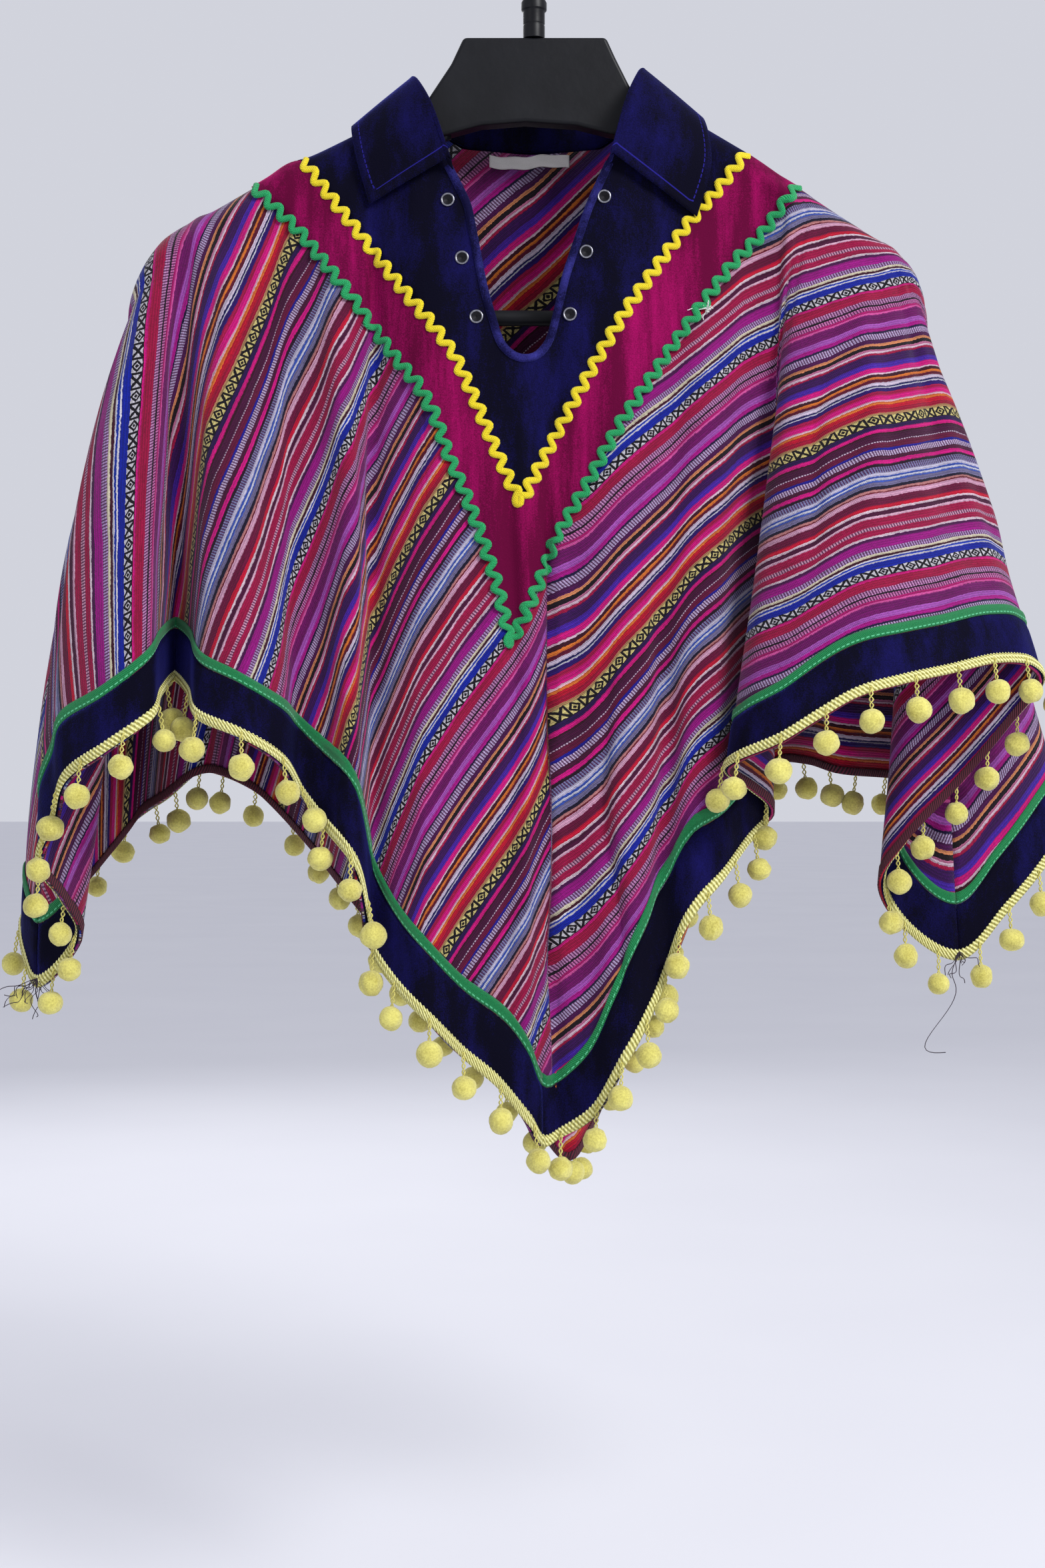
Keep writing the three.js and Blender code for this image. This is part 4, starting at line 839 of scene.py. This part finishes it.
# The neck label
# A short folded tape in an off-white weave, blank and a little crumpled. It is sewn by its ends inside the
# back of the neck, so its middle stands off the cloth.
LABEL_LEFT = -26
LABEL_WIDTH = 47
LABEL_TOP = -139.8
LABEL_FOOT = -146.8
columns = np.linspace(LABEL_LEFT + LABEL_WIDTH, LABEL_LEFT, 40)
x, z = np.meshgrid(columns, np.linspace(LABEL_TOP, LABEL_FOOT, 8), indexing="ij")
z = z + 0.8 * np.sin(x / 7.0) + 0.4 * np.sin(x / 2.6)
ribs = rib_at(x, z, *SEWN["back"][:2], 1)
drops = drop_for(ribs, z)
belly = 0.9 * np.sin((x - LABEL_LEFT) / LABEL_WIDTH * math.pi) + 0.5 * np.sin(x / 4.0 + z)
belly = belly + 0.3 * np.sin(x / 1.9)
outer = over_cloth(ribs, drops, -CLOTH - GAP - 0.1)
inner = over_cloth(ribs, drops, -CLOTH - GAP - 0.5 - np.clip(belly, 0, 2))
label = sheet("neck_tape", outer, inner, np.stack([x, z], -1) / 10)
tape, tree = surface("label tape", Roughness=0.75)
weave = noise(tree, 22.0, 3.0, place=node(tree, "ShaderNodeUVMap", {"uv_map": "cloth"}).outputs["UV"])
toned(tree, weave, (208, 202, 196), (248, 246, 242))
relief(tree, 0.3, 0.0003, weave)
fasten(label, "label_cloth", "label", of=[tape], on="back")

# The hem's velvet band and green ribbon
# A strip of the navy velvet runs right round the hem, with a woven green ribbon along its upper edge that a
# row of paler stitches holds down near its lower side.
STRETCHES = {"front_left": (0, FRONT_TIP), "front_right": (FRONT_TIP, RIGHT_CORNER),
             "back_right": (RIGHT_CORNER, BACK_TIP), "back_left": (BACK_TIP, COUNT)}
HEM_BAND = 27.0
TRIM = 1.2
TRIM_TOP = 33.0
BAND_SECTION = [0.4, 0.85, 1, 1.1, 1.15, 1.1, 1, 0.95, 0.9, 0.5]
RIBBON_SECTION = [0.3, 0.9, 1, 1, 0.72, 1, 0.9, 0.3]


def hem_slant(rib):
    """The sine of the angle between a rib and the hem."""
    down = cloth_point(rib, 1.0) - cloth_point(rib, 0.978)
    across = cloth_point(rib + 0.12, 1.0) - cloth_point(rib - 0.12, 1.0)
    return np.linalg.norm(np.cross(unit(down), unit(across)), axis=-1)


def hem_share(rib):
    """How far up a rib, as a share of its fall, a strip one millimetre wide reaches above the hem. The slant
    is averaged over the ribs beside it, so that strips along the hem have no steps."""
    beside = np.linspace(-1.3, 1.3, 9)
    weights = np.cos(beside)
    slants = [weight * np.maximum(0.5, hem_slant(rib + shift)) for weight, shift in zip(weights, beside)]
    fall = np.linalg.norm(cloth_point(rib, 1.0) - cloth_point(rib, 0.0), axis=-1)
    return 1 / (sum(slants) / weights.sum()) / fall


def hem_ribs(name, spacing):
    """Ribs along one stretch of the hem, ending just short of the next, with the length so far."""
    first, last = STRETCHES[name]
    ribs, length = along_hem(first, last, spacing)
    ribs[[0, -1]] = [first + 0.005, last - 0.005]
    return ribs, length


def hem_strip(name, ribs, length, above, low, height):
    """A strip along the hem. above is how far over the hem each row lies, height how far off the cloth."""
    drops = np.minimum(1 - hem_share(ribs)[:, None] * above, 1.0)
    grid = np.broadcast_to(ribs[:, None], drops.shape)
    outer, inner = over_cloth(grid, drops, height), over_cloth(grid, drops, low)
    uv = np.stack(np.broadcast_arrays(length[:, None], above), -1) / 10
    return sheet(name, outer, inner, uv)


def even_strip(kind, name, upper, lower, low, high, section):
    """A strip of one width. section gives its height from its upper to its lower edge."""
    above = np.linspace(upper, lower, len(section))[None, :]
    height = low + (high - low) * np.asarray(section)[None, :]
    return hem_strip(f"{kind}_{name}", *hem_ribs(name, 3.6), above, low, height)


green_ribbon = woven_trim("green ribbon", (6, 96, 50), (20, 146, 82), 0.9)
stitch(green_ribbon, HEM_BAND + 1.5, 0.32, 3.1, 0.62, (96, 200, 146))
for name in STRETCHES:
    panel = name.split("_")[0]
    band = even_strip("hem_velvet", name, HEM_BAND, 0.2, GAP, GAP + VELVET, BAND_SECTION)
    fasten(band, "navy_velvet", f"hem_band_{name}", of=[navy_velvet], on=panel)
    ribbon = even_strip("green_ribbon", name, TRIM_TOP, HEM_BAND + GAP, GAP, GAP + TRIM, RIBBON_SECTION)
    fasten(ribbon, "green_trim", f"green_trim_{name}", of=[green_ribbon], on=panel)

# The serged edges
# On the wrong side the raw edge of the hem is overlocked in a dark red thread, which shows where the cloth
# turns inside out at the corners.
SERGING = 4.6
LOOP_STEP = 1.9
serging_thread, tree = surface("serging thread", Roughness=0.8)
_, u, v = cloth_place(tree, 10.0)
loops = ((u + v * 0.5) * (2 * math.pi / LOOP_STEP)).calc("SINE")
toned(tree, loops * 0.5 + 0.5, (18, 4, 14), (104, 22, 48))
relief(tree, 0.7, 0.0006, loops)
for name in STRETCHES:
    serging = even_strip("serging", name, SERGING, 0.1, -CLOTH - 0.75, -CLOTH - 0.05, [1, 1, 1, 1])
    fasten(serging, "striped_cloth", of=[serging_thread], on=name.split("_")[0])

# The pompoms
# A gimp braid with close cross ribs is sewn along the hem, and fuzzy balls of pale yellow wool, 14 mm
# across, hang from it on doubled twisted threads about 27 mm apart. In tight folds one hangs further out.
BRAID = 5.0
BRAID_RIB = 2.4
BRAID_LOW = GAP + VELVET + 0.2
BRAID_SECTION = np.array([0.15, 0.75, 1.0, 0.8, 1.0, 0.75, 0.15])
BRAID_EDGES = np.array([0.7, 0.3, 0, 0, 0, 0, -0.3])
APART = 27
BALL_RADIUS = 7.0
BALL_DROP = 19.0
STRAND = 0.42
STRAND_STEPS = 22
STRAND_TURNS = 2.2
# place on the hem in the order of the table: rib shift and push off the cloth, where not 0 and 3
HUNG = {6.4: (0, 6), 9.35: (0, 19), 14.0: (0, 12), 18.0: (0.15, 3), 33.6: (0.3, 1), 35.95: (0.15, 3),
        44.8: (0, 6), 54.25: (0, 6), 55.15: (0, 6), 55.9: (0, 6), 63.8: (0, 9), 68.6: (0, 19),
        75.25: (0, 6), 79.4: (0, 6)}
NO_ROOM = 35.05


def tube(base, rings, around, turned=False):
    """The faces of a tube of rings of points, its ends last. turned is for rings that run the other way."""
    faces = []
    for a in range(base, base + (rings - 1) * around):
        b = a + 1 if (a + 1 - base) % around else a + 1 - around
        faces.append((a, a + around, b + around, b) if turned else (a, b, b + around, a + around))
    first = tuple(range(base, base + around))
    last = tuple(i + (rings - 1) * around for i in first)
    return faces + ([first, last[::-1]] if turned else [first[::-1], last])


wool, tree = surface("pompom wool", Roughness=0.95, Sheen_Weight=0.35, Sheen_Roughness=0.6,
                     Specular_IOR_Level=0.1)
curl = noise(tree, 900.0, 5.0, 0.75)
toned(tree, curl * 0.7 + noise(tree, 90.0) * 0.4, (160, 146, 48), (236, 228, 122), 0.32, 0.68)
relief(tree, 0.8, 0.0008, curl)
gimp = woven_trim("pompom braid", (150, 142, 58), (248, 245, 172), BRAID_RIB, 0.3)

shape = bmesh.new()
bmesh.ops.create_icosphere(shape, subdivisions=4, radius=1.0)
ball_points = np.array([v.co[:] for v in shape.verts])
ball_faces = np.array([[v.index for v in f.verts] for f in shape.faces])
shape.free()
random = np.random.default_rng(7)
for name, (first, last) in STRETCHES.items():
    ribs, length = hem_ribs(name, 0.6)
    beat = 0.5 + 0.5 * np.cos(length * 2 * math.pi / BRAID_RIB)[:, None]
    above = np.linspace(BRAID, 0.0, 7) + BRAID_EDGES * beat
    height = BRAID_LOW + TRIM * BRAID_SECTION * (0.6 + 0.6 * beat)
    braid = hem_strip(f"pompom_trim_{name}", ribs, length, above, BRAID_LOW, height)
    points = [np.array([v.co[:] for v in braid.data.vertices]) * 1000]
    faces = [p.vertices[:] for p in braid.data.polygons]
    total, braid_faces = len(points[0]), len(faces)
    woven = np.zeros(len(braid.data.loops) * 2, dtype=np.float32)
    braid.data.uv_layers["cloth"].data.foreach_get("uv", woven)
    steps = (last - first) * 20
    fine = first + (last - first) * np.arange(steps + 1) / steps
    run = run_along(hem_point(fine))
    many = int(round(run[-1] / APART))
    for i in range(many):
        rib = float(fine[np.argmax(run >= run[-1] * (i + 0.5) / many)])
        if abs(rib - NO_ROOM) < 0.06:
            continue
        shift, push = next((value for key, value in HUNG.items() if abs(rib - key) < 0.06), (0, 3))
        at = np.array([rib + shift])
        root = over_cloth(at, 1 - hem_share(at) * BRAID / 2, GAP + VELVET + TRIM + 0.24)[0]
        centre = root + outward(at, np.array([1.0]))[0] * push - [0, 0, BALL_DROP]
        # a lumpy fuzzy ball
        size = BALL_RADIUS * (0.95 + 0.09 * random.random())
        squash = 1 + 0.10 * (random.random(3) - 0.5)
        lumps = sum(0.020 * np.sin(ball_points @ random.normal(0, 3.5, 3) + random.random() * 6)
                    for _ in range(3))
        fuzz = random.normal(0, 0.008, len(ball_points))
        radius = size * (0.985 + lumps + fuzz)
        points.append(centre + ball_points * squash * radius[:, None])
        faces += (ball_faces + total).tolist()
        total += len(ball_points)
        # two strands twisted round each other from the braid into the ball
        top = root + [0, 0, 0.5]
        reach = np.linalg.norm(centre - top)
        axis = (centre - top) / reach
        side_a = unit(np.cross(axis, [0, 1, 0.2]))
        side_b = np.cross(axis, side_a)
        for strand in (0, math.pi):
            turns = np.linspace(0, 1, STRAND_STEPS)[:, None]
            angle = strand + turns * STRAND_TURNS * 2 * math.pi + rib
            spread = STRAND + 0.5 * np.sin(turns * math.pi) * (0.5 + random.random())
            line = top + axis * (turns * (reach - size * 0.7))
            line = line + (side_a * np.cos(angle) + side_b * np.sin(angle)) * spread
            ring = [line + (side_a * math.cos(a) + side_b * math.sin(a)) * STRAND
                    for a in np.arange(6) * math.pi / 3]
            points.append(np.stack(ring, axis=1).reshape(-1, 3))
            faces += tube(total, STRAND_STEPS, 6)
            total += STRAND_STEPS * 6
    whole = shown(f"pompoms_{name}", np.concatenate(points), faces)
    mesh, old = whole.data, braid.data
    bpy.data.objects.remove(whole)
    braid.data = mesh
    bpy.data.meshes.remove(old)
    places = np.zeros(len(mesh.loops) * 2, dtype=np.float32)
    places[:len(woven)] = woven
    mesh.uv_layers.new(name="cloth").data.foreach_set("uv", places)
    mesh.polygons.foreach_set("material_index", [int(i < braid_faces) for i in range(len(faces))])
    fasten(braid, "pompom_yarn", f"pompoms_{name}", of=[wool, gimp], on=name.split("_")[0])

# The loose threads
# Where the hem's bands meet at the left and right tips their dark sewing threads hang out in a small tangle,
# and a few pale ends stick out of the green ric-rac where it has frayed.
THREAD = 0.24
THREAD_STEPS = 26
LONG_THREAD = 92.0
black_thread, _, _ = mottled("black sewing thread", 1500.0, (14, 8, 18), (48, 24, 50), Roughness=0.7)
frayed_thread, _, _ = mottled("frayed thread", 1500.0, (150, 160, 150), (236, 238, 232))
fray_x, fray_z = np.array([96.0]), np.array([-243.0])
fray = rib_at(fray_x, fray_z, 24, 38, -1)
THREADS = (("left", 0.05, 0.985, 16, 30.0, black_thread), ("right", 51.0, 0.985, 12, 22.0, black_thread),
           ("fray", fray[0], drop_for(fray, fray_z)[0], 22, 6.5, frayed_thread))
for name, rib, drop, many, longest, yarn in THREADS:
    start = over_cloth(np.array([rib]), drop, 2.4)[0]
    points, faces = [], []
    for i in range(many):
        lean = random.normal(0, 1, 3) * [0.55, 0.2, 0.25] + [-0.5 if name == "left" else 0.0, -0.2, -0.8]
        if name == "fray":
            lean = random.normal(0, 1, 3) * [0.8, 0.12, 0.6] + [0.0, -0.15, 0.0]
        if i == 0 and name == "right":
            lean, reach = np.array([-0.26, -0.12, -0.95]), LONG_THREAD
        else:
            reach = longest * (0.5 + 0.5 * random.random())
        share = np.linspace(0, 1, THREAD_STEPS)
        curl = np.stack([np.sin(share * random.uniform(5, 12) + random.random() * 6) for _ in range(3)], -1)
        line = start + share[:, None] * lean * reach * 0.7 + curl * share[:, None] * reach * 0.10
        ring = [line + np.array([math.cos(a), 0, math.sin(a)]) * THREAD for a in np.arange(4) * math.pi / 2]
        points.append(np.stack(ring, axis=1).reshape(-1, 3))
        faces += tube(i * THREAD_STEPS * 4, THREAD_STEPS, 4)[:-2]
    threads = shown(f"loose_threads_{name}", np.concatenate(points), faces, smooth=False)
    fasten(threads, "green_trim" if name == "fray" else "navy_velvet", of=[yarn],
           on="back" if name == "right" else "front")

# The hanger
# A moulded coat hanger in black satin plastic: a flat head with an arched underside and a plain badge plate,
# two arms that follow the shoulders, a post at each end and a round trouser bar between them.
HEAD = [(-40, -84), (41, -84), (46, -95), (54, -111), (62, -124), (62, -142), (44, -139), (24, -134),
        (-5, -132), (-30, -134), (-52, -140), (-66, -146), (-66, -128), (-59, -117), (-47, -99)]
HEAD_HALF = 6.0
HEAD_EDGE = 2.2
# distance from the middle, half height and half thickness along an arm
ARMS = np.array([[46, 13, 5], [64, 13, 5.5], [78, 13, 6], [93, 12.5, 6.5], [110, 12, 7], [130, 11.5, 7],
                 [150, 11, 7], [170, 10, 7], [190, 10, 7], [203, 9, 6], [208, 5, 4]], dtype=float)
ARM_STEPS = 61
ARM_AROUND = 28
UNDER_RIDGE = 3.3
POST_X = 188.0
POST_RADIUS = 4.2
POST_FOOT = -247.0
POST_AROUND = 24


def crisp(piece):
    """Keeps flat faces flat beside rounded edges."""
    piece.modifiers.new("edges", "WEIGHTED_NORMAL").keep_sharp = True


black_plastic, tree, wear = mottled("black plastic", 34.0, (2, 2, 4), (12, 14, 21), 5.0,
                                    Specular_IOR_Level=0.25)
worn(tree, wear, 0.34, 0.56)
relief(tree, 0.25, 0.0003, noise(tree, 260.0))
shape = bmesh.new()
plate = shape.faces.new([shape.verts.new((x, -HEAD_HALF, z)) for x, z in HEAD])
grown = bmesh.ops.extrude_face_region(shape, geom=[plate])
for part in grown["geom"]:
    if isinstance(part, bmesh.types.BMVert):
        part.co.y = HEAD_HALF
bmesh.ops.recalc_face_normals(shape, faces=shape.faces)
bmesh.ops.bevel(shape, geom=shape.edges[:], offset=HEAD_EDGE, segments=4, profile=0.5, affect="EDGES",
                clamp_overlap=True)
shape.verts.index_update()
points = [v.co[:] for v in shape.verts]
faces = [tuple(v.index for v in f.verts) for f in shape.faces]
shape.free()
ridge = RIBS[6:46, :2]
for direction, stretch in ((-1, 1.025), (1, 1.0)):
    faces += tube(len(points), ARM_STEPS, ARM_AROUND)
    for x in np.interp(np.linspace(0, len(ARMS) - 1, ARM_STEPS), range(len(ARMS)), ARMS[:, 0]):
        half_height, half_thickness = (np.interp(x, ARMS[:, 0], ARMS[:, k]) for k in (1, 2))
        x = direction * x * stretch
        middle = np.interp(x, ridge[:, 0], ridge[:, 1]) - UNDER_RIDGE - half_height
        for i in range(ARM_AROUND):
            a = direction * i * 2 * math.pi / ARM_AROUND
            points.append((x, half_thickness * math.cos(a), middle + half_height * math.sin(a)))
for x in (-POST_X, POST_X):
    faces += tube(len(points), 3, POST_AROUND, turned=True)
    top = np.interp(x, ridge[:, 0], ridge[:, 1]) - UNDER_RIDGE - 8
    for z, radius in ((top, POST_RADIUS), (POST_FOOT + 0.8, POST_RADIUS), (POST_FOOT, POST_RADIUS - 0.8)):
        points += [(x + radius * math.cos(a), radius * math.sin(a), z)
                   for a in np.arange(POST_AROUND) * 2 * math.pi / POST_AROUND]
hanger = shown("hanger_body", points, faces)
crisp(hanger)
fasten(hanger, "black_plastic", "hanger", of=[black_plastic])

# The trouser bar, the stem and the hook
# The bar is round and a little flat. The stem is a ribbed collar on the head in the same plastic, and a
# bright steel wire rises from it and bends over into the hook.
BAR_END = POST_X - POST_RADIUS - GAP
BAR_RADIUS = 4.5
BAR_Z = -242.5
BAR_FLAT = 0.8
# the stem's heights and radii, upward
STEM = [(-83.7, 6.0), (-83.2, 6.2), (-76.2, 6.2), (-75.8, 5.8), (-75.2, 5.8), (-74.8, 6.2),
        (-68.0, 6.2), (-67.4, 7.0), (-66.9, 7.3), (-63.0, 7.3), (-61.6, 6.6), (-61.0, 5.4)]
HOOK_RADIUS = 21.0
HOOK_MIDDLE = 2.0 - HOOK_RADIUS
WIRE = 2.0
WIRE_STEPS = 120
WIRE_AROUND = 20


def lathe(name, profile, around, place):
    """A smooth turned form. profile is [distance along the axis, radius], and place sets a point of it."""
    points = [place(along, radius * math.cos(a), radius * math.sin(a)) for along, radius in profile
              for a in np.arange(around) * 2 * math.pi / around]
    piece = shown(name, points, tube(0, len(profile), around))
    shape = bmesh.new()
    shape.from_mesh(piece.data)
    bmesh.ops.recalc_face_normals(shape, faces=shape.faces)
    shape.to_mesh(piece.data)
    shape.free()
    crisp(piece)
    return piece


rod = [(-BAR_END, BAR_RADIUS - 0.5), (-BAR_END + 0.6, BAR_RADIUS), (BAR_END - 0.6, BAR_RADIUS),
       (BAR_END, BAR_RADIUS - 0.5)]
bar = lathe("bar_rod", rod, 32, lambda along, p, q: (along, p * BAR_FLAT, BAR_Z + q))
fasten(bar, "black_plastic", "trouser_bar", of=[black_plastic])
stem = lathe("stem_collar", STEM, 40, lambda along, p, q: (p, q, along))
fasten(stem, "black_plastic", "hook_stem", of=[black_plastic])

steel, tree = surface("hook wire", Metallic=1.0)
drawn = node(tree, "ShaderNodeTexCoord").outputs["Object"]
drawn = node(tree, "ShaderNodeMapping", i0=drawn, Scale=(1.0, 1.0, 0.1)).outputs[0]
marks = noise(tree, 1100.0, 3.0, place=drawn)
toned(tree, marks, (136, 138, 146), (206, 208, 214))
worn(tree, marks, 0.18, 0.36)
arc = [(HOOK_RADIUS * math.cos(a), 0, HOOK_MIDDLE + HOOK_RADIUS * math.sin(a))
       for a in np.radians([0, 30, 60, 90, 120, 150, 180, 205])]
path = np.array([(0, 0, -60.7), (0, 0, -51.7), (12, 0, HOOK_MIDDLE - 20)] + arc, dtype=float)
line = open_curve(path, np.linspace(0, 1, WIRE_STEPS))
side = np.cross(unit(np.gradient(line, axis=0)), [0.0, 1.0, 0.0])
radii = np.full(WIRE_STEPS, WIRE)
# both ends are rounded
radii[[1, -2]] = 1.8
radii[[0, -1]] = 1.3
angles = np.arange(WIRE_AROUND) * 2 * math.pi / WIRE_AROUND
points = [p + radius * (q * math.cos(a) + np.array([0, math.sin(a), 0]))
          for p, q, radius in zip(line, side, radii) for a in angles]
hook = shown("hook_wire", points, tube(0, WIRE_STEPS, WIRE_AROUND, turned=True))
fasten(hook, "hook_steel", "hook", of=[steel])

# Floor, light and camera
# A plain pale floor well under the hem, a soft light from the front right above, a weaker one from the
# left, one from behind, and a camera level with the middle of the photograph's frame. Sizes are metres.
FLOOR_Z = -1.05
FLOOR_HALF = 30
AIM = Vector((0, 0, -0.45))
# where each light is, its power and its width
LIGHTS = {"key light": ((1.3, -1.6, 0.9), 48.0, 0.7), "fill light": ((-1.6, -1.6, 0.1), 3.0, 1.2),
          "rear light": ((-0.6, 2.2, 0.6), 16.0, 1.4)}
DISTANCE = 1.24
FRAME_HALF = 0.447
SENSOR_HALF = 18.0
paint, _, _ = mottled("floor paint", 3.0, (222, 222, 228), (228, 228, 233), Roughness=0.9)
corners = [(x * FLOOR_HALF, y * FLOOR_HALF, FLOOR_Z) for x, y in ((-1, -1), (1, -1), (1, 1), (-1, 1))]
floor = shown("floor", np.array(corners) * 1000, [(0, 1, 2, 3)], smooth=False)
floor.data.materials.append(paint)

world = bpy.data.worlds.new("studio")
world.use_nodes = True
background = world.node_tree.nodes["Background"]
background.inputs["Color"].default_value = linear(226, 228, 238)
background.inputs["Strength"].default_value = 0.84
bpy.context.scene.world = world
for name, (spot, power, size) in LIGHTS.items():
    lamp = bpy.data.lights.new(name, "AREA")
    lamp.energy = power
    lamp.size = size
    lit = bpy.data.objects.new(name, lamp)
    lit.location = spot
    lit.rotation_euler = (AIM - Vector(spot)).to_track_quat("-Z", "Y").to_euler()
    bpy.context.scene.collection.objects.link(lit)

lens = bpy.data.cameras.new("camera")
lens.sensor_fit = "VERTICAL"
lens.sensor_height = 2 * SENSOR_HALF
lens.lens = SENSOR_HALF / (FRAME_HALF / DISTANCE)
camera = bpy.data.objects.new("camera", lens)
camera.location = (-0.0065, -DISTANCE, -0.508)
camera.rotation_euler = (math.pi / 2, 0, 0)
bpy.context.scene.collection.objects.link(camera)
bpy.context.scene.camera = camera
bpy.context.scene.view_settings.view_transform = "Standard"
